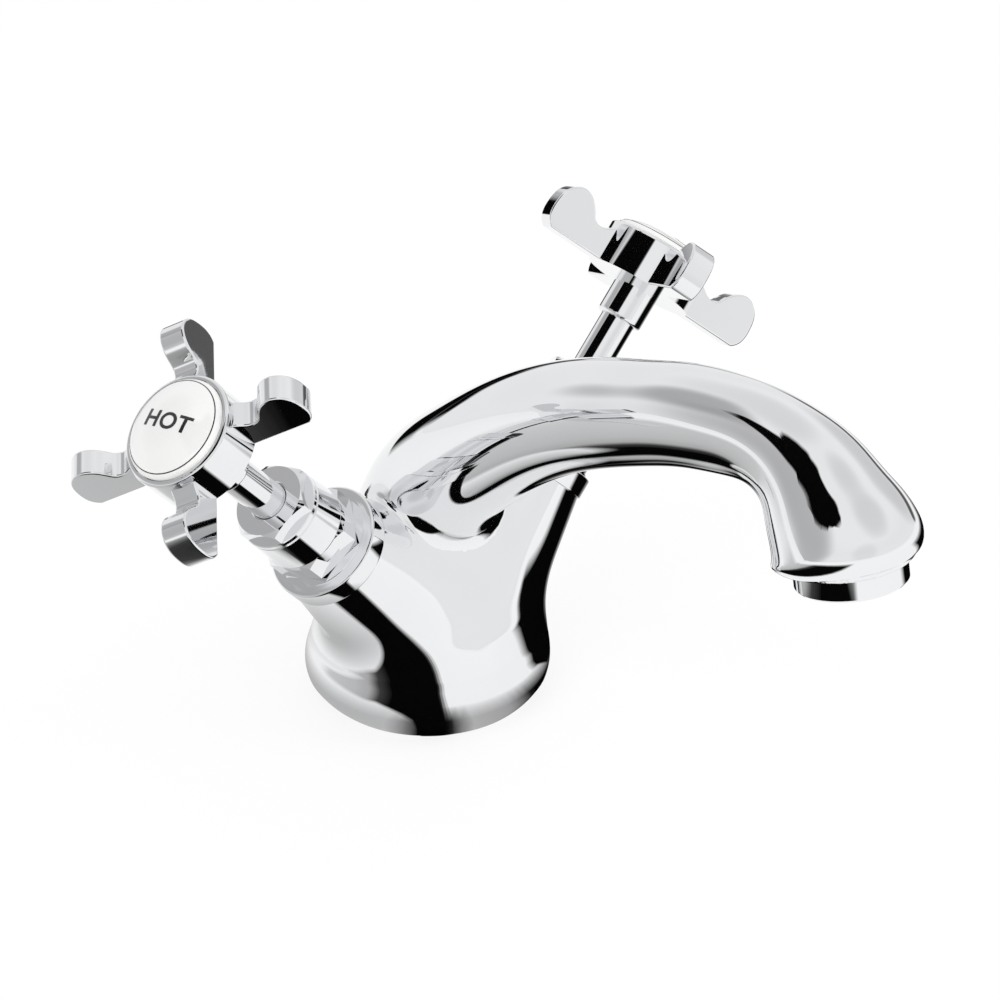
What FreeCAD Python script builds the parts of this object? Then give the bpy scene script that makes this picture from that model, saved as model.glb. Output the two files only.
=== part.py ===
"""Basin mixer tap: one cast body with a swan spout and two rising-spindle valves with crosshead handles.

Millimetres and degrees. The origin is the centre of the base on the deck, +Z up, the spout towards -Y,
the hot valve on -X and the cold valve on +X. Each valve's pieces are measured along the valve axis, from the
point where the two valve axes cross inside the body, and are turned about that axis.
"""
import FreeCAD, Part
import Sketcher
import math
import os

from FreeCAD import Placement, Rotation, Vector

doc = FreeCAD.newDocument("basin_mixer_tap")
sheet = doc.addObject("Spreadsheet::Sheet", "sizes")

# Driving dimensions: name, value, what it is
SIZES = (
    ("base_radius", 26.8, "widest radius of the base bulb"),
    ("base_widest_height", 7.3, "height of the widest place of the base bulb"),
    ("foot_radius", 18.8, "outer radius of the foot on the deck"),
    ("waist_radius", 24.1, "radius of the waist over the bulb"),
    ("waist_height", 15.3, "height of the waist"),
    ("seal_groove_inner", 14.2, "inner radius of the seal's groove"),
    ("seal_groove_outer", 17.4, "outer radius of the seal's groove"),
    ("seal_groove_depth", 1.6, "depth of the seal's groove"),
    ("seal_gap", 0.1, "gap between the seal and its groove's walls"),
    ("inlet_offset", 7.2, "inlet port's distance from the middle, across"),
    ("inlet_thread_radius", 5.0, "M10 x 1 inlet port"),
    ("inlet_thread_depth", 11.0, "depth of the inlet port's thread"),
    ("passage_radius", 3.6, "drilled water passage"),
    ("stud_offset", 8.6, "fixing stud's distance behind the middle"),
    ("stud_thread_radius", 4.0, "M8 fixing stud's hole"),
    ("stud_thread_depth", 12.0, "depth of the fixing stud's hole"),
    ("valve_tilt", 43.2, "angle of each valve axis from upright, degrees"),
    ("valve_forward", 2.9, "valve axes' distance in front of the base's centre"),
    ("valve_height", 15.5, "height at which the valve axes cross"),
    ("branch_reach", 45.3, "crossing point to the collar's face, along the axis"),
    ("branch_root_radius", 19.4, "radius of the branch at the crossing point"),
    ("branch_end_radius", 12.5, "radius of the branch under its collar"),
    ("branch_blend", 7.0, "rounding between the branches, the spout and the base"),
    ("collar_radius", 12.9, "radius of the branch's collar"),
    ("collar_height", 4.7, "height of the branch's collar"),
    ("bonnet_thread_radius", 8.33, "G 3/8 thread between bonnet and branch"),
    ("bonnet_thread_length", 7.5, "length of the bonnet's thread"),
    ("bonnet_thread_runout", 1.0, "threaded bore below the bonnet's foot"),
    ("chamber_radius", 7.3, "radius of the valve chamber"),
    ("chamber_floor", 27.5, "crossing point to the valve chamber's floor"),
    ("seat_thread_radius", 5.5, "outer radius of the screwed-in seat"),
    ("seat_depth", 5.0, "depth of the seat in the chamber's floor"),
    ("seat_bore_radius", 4.2, "water hole through the seat"),
    ("seat_lip_radius", 5.2, "outer radius of the seat's raised lip"),
    ("seat_lip_height", 1.0, "height of the seat's raised lip"),
    ("outlet_passage_rise", 3.6, "outlet passage's centre over the chamber's floor"),
    ("spout_wall", 2.6, "wall of the spout"),
    ("crest_reach", 99.8, "spout centreline's crest, forward of the base's centre"),
    ("crest_height", 99.5, "height of the spout centreline's crest"),
    ("spout_radius", 9.5, "thinnest radius of the spout, at its crest"),
    ("bell_radius", 15.5, "radius of the bell outlet"),
    ("bell_lip_round", 4.4, "rounding of the bell's lip"),
    ("outlet_reach", 124.1, "aerator's lower face, forward of the base's centre"),
    ("outlet_height", 77.7, "height of the aerator's lower face, at its centre"),
    ("outlet_tilt", 11.5, "lean of the outlet's axis from upright, degrees"),
    ("ring_radius", 10.97, "radius of the aerator's visible ring"),
    ("ring_height", 4.2, "height of the aerator's visible ring"),
    ("ring_edge", 0.5, "chamfer of the aerator ring's lower edge"),
    ("aerator_thread_radius", 10.0, "M20 x 1 thread of the aerator"),
    ("aerator_thread_length", 6.0, "length of the aerator's thread"),
    ("aerator_bore_radius", 8.9, "bore of the aerator's housing"),
    ("aerator_lip_radius", 8.2, "opening in the aerator housing's lower lip"),
    ("aerator_lip_height", 0.9, "height of the aerator housing's lower lip"),
    ("insert_height", 5.4, "height of the flow straightener"),
    ("insert_wall", 0.9, "wall of the flow straightener"),
    ("insert_plate", 1.5, "thickness of the flow straightener's plate"),
    ("insert_hole_radius", 1.0, "holes in the flow straightener's plate"),
    ("insert_hole_pitch", 2.9, "distance between the rings of holes"),
    ("screen_thickness", 0.5, "thickness of the aerator's screen"),
    ("screen_slot", 0.9, "width of the screen's openings"),
    ("aerator_washer_thickness", 1.8, "thickness of the aerator's washer"),
    ("aerator_washer_inner", 8.0, "inner radius of the aerator's washer"),
    ("bonnet_washer_thickness", 0.5, "thickness of the bonnet's fibre washer"),
    ("bonnet_washer_radius", 11.6, "outer radius of the bonnet's fibre washer"),
    ("bonnet_flange_radius", 11.3, "radius of the bonnet's washer face"),
    ("bonnet_flange_height", 1.0, "height of the bonnet's washer face"),
    ("bonnet_hex_across", 18.4, "bonnet hexagon across flats"),
    ("bonnet_hex_height", 6.0, "height of the bonnet's hexagon"),
    ("bonnet_hex_chamfer", 0.75, "height of the chamfer on the bonnet's hexagon"),
    ("barrel_foot_radius", 9.6, "bonnet barrel's radius over the hexagon"),
    ("barrel_top_radius", 9.2, "bonnet barrel's radius under the gland nut"),
    ("barrel_height", 8.0, "height of the bonnet's barrel"),
    ("barrel_edge", 0.4, "chamfer of the barrel's ends"),
    ("throat_radius", 4.1, "bore in which the spindle's stem turns"),
    ("throat_height", 2.3, "length of that bore in the bonnet"),
    ("packing_radius", 6.55, "radius of the packing chamber"),
    ("packing_height", 2.8, "height of the gland packing"),
    ("gland_flange_radius", 9.2, "radius of the gland nut's flange"),
    ("gland_flange_height", 1.2, "height of the gland nut's flange"),
    ("gland_flange_edge", 0.2, "chamfer of the gland nut's flange"),
    ("gland_hex_across", 15.8, "gland nut across flats"),
    ("gland_hex_height", 3.3, "height of the gland nut's hexagon"),
    ("gland_hex_chamfer", 0.8, "height of the chamfer on the gland nut"),
    ("gland_mouth_radius", 4.5, "countersunk mouth of the gland nut"),
    ("stem_radius", 4.03, "radius of the spindle's bare stem"),
    ("stem_visible", 14.1, "bare stem between gland nut and handle, closed"),
    ("spindle_thread_radius", 5.5, "radius of the spindle's lifting thread"),
    ("spindle_thread_length", 15.0, "length of the spindle's lifting thread"),
    ("spindle_lift", 4.0, "rise of the spindle from closed to fully open"),
    ("running_gap", 0.05, "radial clearance of turning fits"),
    ("drive_across", 5.6, "spindle's square drive across flats"),
    ("drive_gap", 0.08, "gap round the square drive in the handle"),
    ("drive_shoulder", 2.8, "handle's round socket before the square drive"),
    ("jumper_stem_radius", 2.4, "radius of the jumper's stem"),
    ("jumper_stem_length", 9.0, "length of the jumper's stem"),
    ("jumper_plate_radius", 6.5, "radius of the jumper's plate"),
    ("jumper_plate_height", 1.5, "height of the jumper's plate"),
    ("jumper_tail_radius", 1.5, "M3 tail that holds the tap washer"),
    ("jumper_end_gap", 0.2, "play between the jumper and the spindle"),
    ("tap_washer_radius", 6.3, "radius of the tap washer"),
    ("tap_washer_height", 3.0, "thickness of the tap washer"),
    ("washer_nut_across", 5.0, "nut under the tap washer, across flats"),
    ("washer_nut_height", 2.0, "height of the nut under the tap washer"),
    ("closed_gap", 0.3, "gap left between tap washer and seat at rest"),
    ("neck_radius", 5.3, "radius of the handle's neck"),
    ("neck_height", 8.7, "height of the handle's neck"),
    ("neck_edge", 0.8, "rounding of the neck's lower end"),
    ("hub_radius", 12.5, "radius of the handle's hub"),
    ("hub_height", 9.9, "height of the handle's hub"),
    ("hub_edge", 0.7, "rounding of the hub's upper edge"),
    ("handle_web", 1.2, "web in the hub under the screw's head"),
    ("arm_reach", 27.4, "handle's centre to the tip of an arm"),
    ("arm_thickness", 5.9, "thickness of an arm"),
    ("arm_height", 11.3, "height of an arm's rounded ear"),
    ("arm_round", 0.45, "rounding of an arm's long edges"),
    ("index_radius", 11.3, "radius of the index disc"),
    ("index_depth", 2.4, "depth of the index disc in the hub"),
    ("index_dome", 3.3, "rise of the index disc's dome over the hub"),
    ("index_gap", 0.1, "gap round the index disc"),
    ("screw_radius", 2.0, "M4 handle screw"),
    ("screw_length", 8.0, "length of the handle screw's shank"),
    ("screw_head_radius", 3.5, "radius of the handle screw's head"),
    ("screw_head_height", 2.0, "height of the handle screw's head"),
    ("screw_slot_width", 0.9, "width of the slot in the handle screw's head"),
    ("screw_gap", 0.15, "radial gap round the handle screw in the handle"),
    ("hot_handle_turn", 43.1, "rest angle of the hot handle, degrees"),
    ("cold_handle_turn", 61.5, "rest angle of the cold handle, degrees"),
    ("bonnet_turn", 49.0, "rest angle of the bonnet's hexagon, degrees"),
    ("gland_turn", 48.0, "rest angle of the gland nut, degrees"),
    ("cut_overrun", 1.0, "how far a cut runs past the face it opens"),
)


class Size:
    """A length or angle: its value, and the same formula as text that an object's property is bound to."""

    def __init__(self, text, value):
        self.text = text
        self.value = value

    def join(self, other, sign, value):
        return Size("(%s %s %s)" % (self.text, sign, text_of(other)), value)

    def __add__(self, other):
        return self.join(other, "+", self.value + value_of(other))

    def __sub__(self, other):
        return self.join(other, "-", self.value - value_of(other))

    def __mul__(self, other):
        return self.join(other, "*", self.value * value_of(other))

    def __truediv__(self, other):
        return self.join(other, "/", self.value / value_of(other))

    __rmul__ = __mul__


def text_of(length):
    return length.text if isinstance(length, Size) else repr(length)


def value_of(length):
    return length.value if isinstance(length, Size) else length


class Sheet:
    """Every driving dimension, by name."""


size = Sheet()
for row, (name, value, note) in enumerate(SIZES, start=1):
    sheet.set("A%d" % row, name)
    sheet.set("B%d" % row, str(value))
    sheet.set("C%d" % row, note)
    sheet.setAlias("B%d" % row, name)
doc.recompute()
for name, value, note in SIZES:
    setattr(size, name, Size("sizes." + name, float(getattr(sheet, name))))

NIL = Size("0", 0.0)
FLAT_TO_CORNER = 1.0 / math.cos(math.pi / 6)

# Stations along a valve axis, from the crossing point outwards
bonnet_foot = size.branch_reach - size.bonnet_thread_length
bonnet_face = size.branch_reach + size.bonnet_washer_thickness
bonnet_top = bonnet_face + size.bonnet_flange_height + size.bonnet_hex_height + size.barrel_height
gland_face = bonnet_top + size.gland_flange_height + size.gland_hex_height
handle_foot = gland_face + size.stem_visible
seat_foot = size.chamber_floor - size.seat_depth
tap_washer_foot = size.chamber_floor + size.seat_lip_height + size.closed_gap
jumper_foot = tap_washer_foot - size.washer_nut_height
spindle_foot = tap_washer_foot + size.tap_washer_height + size.jumper_plate_height + size.jumper_end_gap

# Heights within a piece, from its own lower end
hub_foot = size.neck_height
hub_top = size.neck_height + size.hub_height
index_floor = hub_top - size.index_depth
screw_seat = index_floor - size.screw_head_height - size.screw_gap
web_foot = screw_seat - size.handle_web


def plane_of(body, role):
    for feature in body.Origin.OriginFeatures:
        if feature.Role == role:
            return feature


def new_body(label):
    body = doc.addObject("PartDesign::Body", label)
    body.Label = label
    return body


def outline(body, name, corners):
    """A closed outline in the body's own XZ plane. Each corner is a radius and a height, both bound to sizes."""
    sketch = body.newObject("Sketcher::SketchObject", body.Name + "_" + name)
    sketch.AttachmentSupport = [(plane_of(body, "XZ_Plane"), "")]
    sketch.MapMode = "FlatFace"
    count = len(corners)
    points = [Vector(value_of(radius), value_of(height), 0) for radius, height in corners]
    for index in range(count):
        sketch.addGeometry(Part.LineSegment(points[index], points[(index + 1) % count]), False)
    for index in range(count):
        sketch.addConstraint(Sketcher.Constraint("Coincident", index, 2, (index + 1) % count, 1))
    for index, (radius, height) in enumerate(corners):
        hold(sketch, index, "DistanceX", -2, radius, "radius%d" % index)
        hold(sketch, index, "DistanceY", -1, height, "height%d" % index)
    return sketch


def hold(sketch, index, direction, axis, length, name):
    """Hold one corner of an outline at a bound distance from an axis, or on the axis itself."""
    if length is NIL:
        sketch.addConstraint(Sketcher.Constraint("PointOnObject", index, 1, axis))
        return
    number = sketch.addConstraint(Sketcher.Constraint(direction, -1, 1, index, 1, value_of(length)))
    sketch.renameConstraint(number, name)
    sketch.setExpression("Constraints." + name, text_of(length))


def turn(body, kind, name, corners):
    """Turn an outline about the body's own Z axis: a Revolution adds it, a Groove cuts it away."""
    sketch = outline(body, name, corners)
    feature = body.newObject("PartDesign::" + kind, body.Name + "_" + name + "_" + kind.lower())
    feature.Profile = sketch
    feature.ReferenceAxis = (sketch, ["V_Axis"])
    feature.Angle = 360
    return feature


def prism(body, kind, name, sides, corner_radius, foot, height, turn_angle=NIL):
    """A regular prism on the body's own axis, added or cut away."""
    feature = body.newObject("PartDesign::" + kind + "Prism", body.Name + "_" + name)
    feature.AttachmentSupport = [(plane_of(body, "XY_Plane"), "")]
    feature.MapMode = "FlatFace"
    feature.Polygon = sides
    feature.setExpression("Circumradius", text_of(corner_radius))
    feature.setExpression("Height", text_of(height))
    feature.setExpression("AttachmentOffset.Base.z", text_of(foot))
    feature.setExpression("AttachmentOffset.Rotation.Angle", text_of(turn_angle))
    return feature


def hexagon(body, name, across, foot, height, chamfer, chamfer_foot=True):
    """A hexagon with chamfered corners, as on a nut."""
    corner = across * (FLAT_TO_CORNER / 2)
    flat = across / 2
    top = foot + height
    beyond = corner + size.cut_overrun
    drop = chamfer * ((beyond - flat) / (corner - flat))
    prism(body, "Additive", name, 6, corner, foot, height)
    turn(body, "Groove", name + "_top_chamfer", ((flat, top), (beyond, top - drop), (beyond, top)))
    if chamfer_foot:
        turn(body, "Groove", name + "_foot_chamfer", ((flat, foot), (beyond, foot), (beyond, foot + drop)))


def hexagon_on(body, across, foot, height, chamfer, bore):
    """A chamfered hexagon round a bored piece, its bore cut again through the new solid."""
    hexagon(body, "hexagon", across, foot, height, chamfer)
    turn(body, "Groove", "bore_again", (
        (NIL, foot), (bore, foot), (bore, foot + height), (NIL, foot + height)))


def on_valve(piece, side, station, turn_angle=NIL):
    """Put a piece on a valve axis: side is -1 for hot and 1 for cold, station its own zero along the axis."""
    x = "%d * %s * sin(%s)" % (side, text_of(station), text_of(size.valve_tilt))
    z = "%s + %s * cos(%s)" % (text_of(size.valve_height), text_of(station), text_of(size.valve_tilt))
    lean = "rotation(vector(0; 1; 0); %d * %s)" % (side, text_of(size.valve_tilt))
    spin = "rotation(vector(0; 0; 1); %s)" % text_of(turn_angle)
    place = "placement(vector(%s; -%s; %s); %s * %s)" % (x, text_of(size.valve_forward), z, lean, spin)
    piece.setExpression("Placement", place)


def on_outlet(piece, station):
    """Put a piece on the outlet's axis, station its own zero above the aerator's lower face."""
    y = "-%s + %s * sin(%s)" % (text_of(size.outlet_reach), text_of(station), text_of(size.outlet_tilt))
    z = "%s + %s * cos(%s)" % (text_of(size.outlet_height), text_of(station), text_of(size.outlet_tilt))
    lean = "rotation(vector(1; 0; 0); -%s)" % text_of(size.outlet_tilt)
    piece.setExpression("Placement", "placement(vector(0; %s; %s); %s)" % (y, z, lean))


def valve_direction(side):
    tilt = math.radians(size.valve_tilt.value)
    return Vector(side * math.sin(tilt), 0, math.cos(tilt))


def valve_point(side, station):
    """A point on a valve axis, in the tap's own frame."""
    start = Vector(0, -size.valve_forward.value, size.valve_height.value)
    return start + valve_direction(side) * value_of(station)


def outlet_direction():
    tilt = math.radians(size.outlet_tilt.value)
    return Vector(0, math.sin(tilt), math.cos(tilt))


def outlet_point(station):
    """A point on the outlet's axis, above the aerator's lower face."""
    start = Vector(0, -size.outlet_reach.value, size.outlet_height.value)
    return start + outlet_direction() * value_of(station)


def rod(start, end, radius):
    """A plain round solid from one point to another."""
    return Part.makeCylinder(radius, (end - start).Length, start, end - start)


# Spout centreline from the waist to the crest: shares of the way forward, of the way up, and of the girth
# that the waist has over the crest
RISE_SHARES = (
    (0.0, 0.0, 1.0),
    (-0.002, 0.125, 0.791),
    (0.0, 0.253, 0.541),
    (0.024, 0.394, 0.349),
    (0.147, 0.556, 0.253),
    (0.303, 0.701, 0.192),
    (0.43, 0.793, 0.151),
    (0.571, 0.869, 0.11),
    (0.678, 0.916, 0.072),
    (0.794, 0.961, 0.051),
    (0.912, 0.989, 0.023),
    (1.0, 1.0, 0.0),
)
# From the crest to the bell's lip: shares of the way forward and down, and of the bell's extra radius
FALL_SHARES = (
    (0.341, 0.071, 0.082),
    (0.589, 0.242, 0.317),
    (0.741, 0.463, 0.543),
    (0.874, 0.653, 0.765),
    (0.967, 0.834, 0.932),
    (1.0, 1.0, 1.0),
)
# Stations of the rise and the fall between which the spout is hollow
BORE_FIRST = 3
BORE_LAST = 14


def spout_stations():
    """The spout's cross-sections: centre, radius and the direction in which the centreline runs there."""
    rise = size.crest_height.value - size.waist_height.value
    swell = size.waist_radius.value - size.spout_radius.value
    centres = []
    radii = []
    for forward, up, girth in RISE_SHARES:
        centres.append(Vector(0, -forward * size.crest_reach.value, size.waist_height.value + up * rise))
        radii.append(size.spout_radius.value + girth * swell)
    crest = centres[-1]
    mouth = outlet_point(size.ring_height)
    for forward, down, flare in FALL_SHARES:
        y = crest.y + forward * (mouth.y - crest.y)
        z = crest.z + down * (mouth.z - crest.z)
        centres.append(Vector(0, y, z))
        radii.append(size.spout_radius.value + flare * (size.bell_radius.value - size.spout_radius.value))
    line = Part.BSplineCurve()
    line.interpolate(centres, InitialTangent=Vector(0, 0, 1), FinalTangent=outlet_direction() * -1)
    directions = [line.tangent(line.parameter(centre))[0] for centre in centres]
    return list(zip(centres, radii, directions))


def ring_wire(centre, radius, direction):
    """A round section of the spout, in two halves that meet in the tap's middle plane."""
    across = Vector(radius, 0, 0)
    upward = direction.cross(across)
    halves = (
        Part.Arc(centre + upward, centre + across, centre - upward).toShape(),
        Part.Arc(centre - upward, centre - across, centre + upward).toShape(),
    )
    return Part.Wire(halves)


# The base bulb's outline: shares of its height and of its swell over the foot and over the waist
UNDERSIDE_HEIGHT_SHARE = 0.33
UNDERSIDE_SWELL_SHARE = 0.707
SHOULDER_HEIGHT_SHARE = 0.36
SHOULDER_SWELL_SHARE = 0.92
NECK_HEIGHT_SHARE = 0.7
NECK_SWELL_SHARE = 0.5


def base_solid():
    """The base bulb, turned about the upright axis, with its rounded underside and its waist."""
    foot = size.foot_radius.value
    widest = size.base_radius.value
    low = size.base_widest_height.value
    waist = size.waist_height.value
    neck = size.waist_radius.value
    swell = widest - neck
    start = Vector(foot, 0, 0)
    under = Vector(foot + (widest - foot) * UNDERSIDE_SWELL_SHARE, 0, low * UNDERSIDE_HEIGHT_SHARE)
    bulge = Vector(widest, 0, low)
    shoulder = Vector(neck + swell * SHOULDER_SWELL_SHARE, 0, low + (waist - low) * SHOULDER_HEIGHT_SHARE)
    bend = Vector(neck + swell * NECK_SWELL_SHARE, 0, low + (waist - low) * NECK_HEIGHT_SHARE)
    top = Vector(neck, 0, waist)
    middle = Vector(0, 0, waist)
    centre = Vector(0, 0, 0)
    edges = (
        Part.LineSegment(centre, start).toShape(),
        Part.Arc(start, under, bulge).toShape(),
        Part.Arc(bulge, shoulder, bend).toShape(),
        Part.LineSegment(bend, top).toShape(),
        Part.LineSegment(top, middle).toShape(),
        Part.LineSegment(middle, centre).toShape(),
    )
    face = Part.Face(Part.Wire(edges))
    return face.revolve(centre, Vector(0, 0, 1), 360)


def branch_solid(side):
    """One valve branch: a cone along the valve axis, its seam on the inner side, and the collar on its end."""
    collar_foot = size.branch_reach.value - size.collar_height.value
    lean = Rotation(Vector(0, 1, 0), side * size.valve_tilt.value)
    seam_inwards = Rotation(Vector(0, 0, 1), 90 + 90 * side)
    cone = Part.makeCone(size.branch_root_radius.value, size.branch_end_radius.value, collar_foot)
    cone.Placement = Placement(valve_point(side, 0), lean * seam_inwards)
    collar = Part.makeCylinder(size.collar_radius.value, size.collar_height.value,
                               valve_point(side, collar_foot), valve_direction(side))
    return cone, collar


def body_cuts(stations):
    """Everything that is bored out of the casting."""
    over = size.cut_overrun.value
    cuts = []
    groove = Part.makeCylinder(size.seal_groove_outer.value, size.seal_groove_depth.value + over,
                               Vector(0, 0, -over))
    core = Part.makeCylinder(size.seal_groove_inner.value, size.seal_groove_depth.value + 3 * over,
                             Vector(0, 0, -2 * over))
    cuts.append(groove.cut(core))
    stud = Vector(0, size.stud_offset.value, 0)
    cuts.append(rod(stud, stud + Vector(0, 0, size.stud_thread_depth.value), size.stud_thread_radius.value))
    mixing = stations[BORE_FIRST][0]
    for side in (-1, 1):
        port = Vector(side * size.inlet_offset.value, -size.valve_forward.value, 0)
        port_top = port + Vector(0, 0, size.inlet_thread_depth.value)
        meeting = size.inlet_offset.value / math.sin(math.radians(size.valve_tilt.value))
        cuts.append(rod(port, port_top, size.inlet_thread_radius.value))
        cuts.append(rod(port_top, valve_point(side, meeting), size.passage_radius.value))
        cuts.append(rod(valve_point(side, meeting), valve_point(side, seat_foot), size.passage_radius.value))
        cuts.append(rod(valve_point(side, seat_foot), valve_point(side, size.chamber_floor),
                        size.seat_thread_radius.value))
        thread_foot = bonnet_foot - size.bonnet_thread_runout
        cuts.append(rod(valve_point(side, size.chamber_floor), valve_point(side, thread_foot),
                        size.chamber_radius.value))
        cuts.append(rod(valve_point(side, thread_foot), valve_point(side, size.branch_reach + over),
                        size.bonnet_thread_radius.value))
        outlet_start = valve_point(side, size.chamber_floor + size.outlet_passage_rise)
        cuts.append(rod(outlet_start, mixing + Vector(0, 0, over), size.passage_radius.value))
    bore = []
    for centre, radius, direction in stations[BORE_FIRST:BORE_LAST]:
        inner = min(radius - size.spout_wall.value, size.aerator_washer_inner.value)
        bore.append(ring_wire(centre, inner, direction))
    thread_top = size.ring_height + size.aerator_thread_length + size.aerator_washer_thickness
    bore.append(ring_wire(outlet_point(thread_top), size.aerator_washer_inner.value, outlet_direction() * -1))
    bore.append(ring_wire(outlet_point(thread_top - over), size.aerator_washer_inner.value,
                          outlet_direction() * -1))
    cuts.append(Part.makeLoft(bore, True, False))
    cuts.append(rod(outlet_point(thread_top), outlet_point(size.ring_height - over),
                    size.aerator_thread_radius.value))
    return cuts


def is_branch_join(solid, edge):
    """True for the curves in which a branch's cone meets the lofted spout."""
    surfaces = sorted(type(face.Surface).__name__ for face in solid.ancestorsOfType(edge, Part.Face))
    return surfaces == ["BSplineSurface", "Cone"] and type(edge.Curve).__name__ == "BSplineCurve"


def add_body():
    """The cast body: base, swan spout and two branches in one, bored for the water."""
    stations = spout_stations()
    spout = Part.makeLoft([ring_wire(*station) for station in stations], True, False)
    mouth, radius, direction = stations[-1]
    lip = [edge for edge in spout.Edges
           if abs((edge.CenterOfMass - mouth).dot(direction)) < size.running_gap.value]
    spout = spout.makeFillet(size.bell_lip_round.value, lip)
    branches = [branch_solid(side) for side in (-1, 1)]
    solid = base_solid().fuse(spout)
    for cone, collar in branches:
        solid = solid.fuse(cone)
    solid = solid.removeSplitter()
    joins = [edge for edge in solid.Edges if is_branch_join(solid, edge)]
    solid = solid.makeFillet(size.branch_blend.value, joins)
    for cone, collar in branches:
        solid = solid.fuse(collar)
    for cut in body_cuts(stations):
        solid = solid.cut(cut)
    solid = solid.removeSplitter()
    tap = doc.addObject("Part::Feature", "tap_body")
    tap.Label = "tap_body"
    tap.Shape = solid.Solids[0] if len(solid.Solids) == 1 else solid
    return tap


def add_base_seal():
    """Flat rubber ring, flush with the foot, in its groove."""
    inner = size.seal_groove_inner + size.seal_gap
    outer = size.seal_groove_outer - size.seal_gap
    body = new_body("base_seal")
    turn(body, "Revolution", "ring", (
        (inner, NIL), (outer, NIL), (outer, size.seal_groove_depth), (inner, size.seal_groove_depth)))


# Round slots in the aerator's screen
SCREEN_SLOTS = 4


def add_aerator():
    """The aerator: chrome housing, flow straightener, screen and washer, all on the outlet's axis."""
    housing = new_body("aerator_housing")
    thread = size.aerator_thread_radius - size.running_gap
    top = size.ring_height + size.aerator_thread_length
    turn(housing, "Revolution", "shell", (
        (size.aerator_lip_radius, NIL), (size.ring_radius - size.ring_edge, NIL),
        (size.ring_radius, size.ring_edge), (size.ring_radius, size.ring_height), (thread, size.ring_height),
        (thread, top), (size.aerator_bore_radius, top), (size.aerator_bore_radius, size.aerator_lip_height),
        (size.aerator_lip_radius, size.aerator_lip_height)))
    on_outlet(housing, NIL)

    screen = new_body("aerator_screen")
    rim = size.aerator_bore_radius - size.running_gap
    turn(screen, "Revolution", "disc", (
        (NIL, NIL), (rim, NIL), (rim, size.screen_thickness), (NIL, size.screen_thickness)))
    pitch = rim / (SCREEN_SLOTS + 1)
    for index in range(1, SCREEN_SLOTS + 1):
        inner = pitch * index - size.screen_slot / 2
        turn(screen, "Groove", "slot%d" % index, (
            (inner, NIL), (inner + size.screen_slot, NIL), (inner + size.screen_slot, size.screen_thickness),
            (inner, size.screen_thickness)))
    for index in range(2):
        bar = screen.newObject("PartDesign::AdditiveBox", "screen_bar%d" % index)
        bar.AttachmentSupport = [(plane_of(screen, "XY_Plane"), "")]
        bar.MapMode = "FlatFace"
        along, across = ("Length", "Width") if index == 0 else ("Width", "Length")
        bar.setExpression(along, text_of(rim * 2 - size.screen_slot))
        bar.setExpression(across, text_of(size.screen_slot))
        bar.setExpression("Height", text_of(size.screen_thickness))
        shift = (size.screen_slot / 2 - rim, size.screen_slot / 2)
        x, y = shift if index == 0 else (shift[1], shift[0])
        bar.setExpression("AttachmentOffset.Base.x", text_of(x) if index == 0 else "-" + text_of(x))
        bar.setExpression("AttachmentOffset.Base.y", "-" + text_of(y) if index == 0 else text_of(y))
    on_outlet(screen, size.aerator_lip_height)

    insert = new_body("aerator_insert")
    inner = rim - size.insert_wall
    turn(insert, "Revolution", "cup", (
        (inner, NIL), (rim, NIL), (rim, size.insert_height), (NIL, size.insert_height),
        (NIL, size.insert_height - size.insert_plate), (inner, size.insert_height - size.insert_plate)))
    for ring, holes in ((0, 1), (1, 6), (2, 12)):
        drill = insert.newObject("PartDesign::SubtractiveCylinder", "insert_hole%d" % ring)
        drill.AttachmentSupport = [(plane_of(insert, "XY_Plane"), "")]
        drill.MapMode = "FlatFace"
        drill.setExpression("Radius", text_of(size.insert_hole_radius))
        drill.setExpression("Height", text_of(size.insert_height + size.cut_overrun))
        drill.setExpression("AttachmentOffset.Base.x", text_of(size.insert_hole_pitch * float(ring)))
        if holes > 1:
            pattern = insert.newObject("PartDesign::PolarPattern", "insert_holes%d" % ring)
            pattern.Originals = [drill]
            pattern.Axis = (plane_of(insert, "Z_Axis"), [""])
            pattern.Angle = 360
            pattern.Occurrences = holes
            insert.Tip = pattern
    on_outlet(insert, size.aerator_lip_height + size.screen_thickness)

    washer = new_body("aerator_washer")
    turn(washer, "Revolution", "ring", (
        (size.aerator_washer_inner, NIL), (thread, NIL), (thread, size.aerator_washer_thickness),
        (size.aerator_washer_inner, size.aerator_washer_thickness)))
    on_outlet(washer, top)


def add_seat(name, side):
    """Brass seat screwed into the chamber's floor, with a raised lip for the tap washer."""
    body = new_body(name + "_seat")
    lip = size.seat_depth + size.seat_lip_height
    turn(body, "Revolution", "bush", (
        (size.seat_bore_radius, NIL), (size.seat_thread_radius, NIL), (size.seat_thread_radius, size.seat_depth),
        (size.seat_lip_radius, size.seat_depth), (size.seat_lip_radius, lip), (size.seat_bore_radius, lip)))
    on_valve(body, side, seat_foot)


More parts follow.
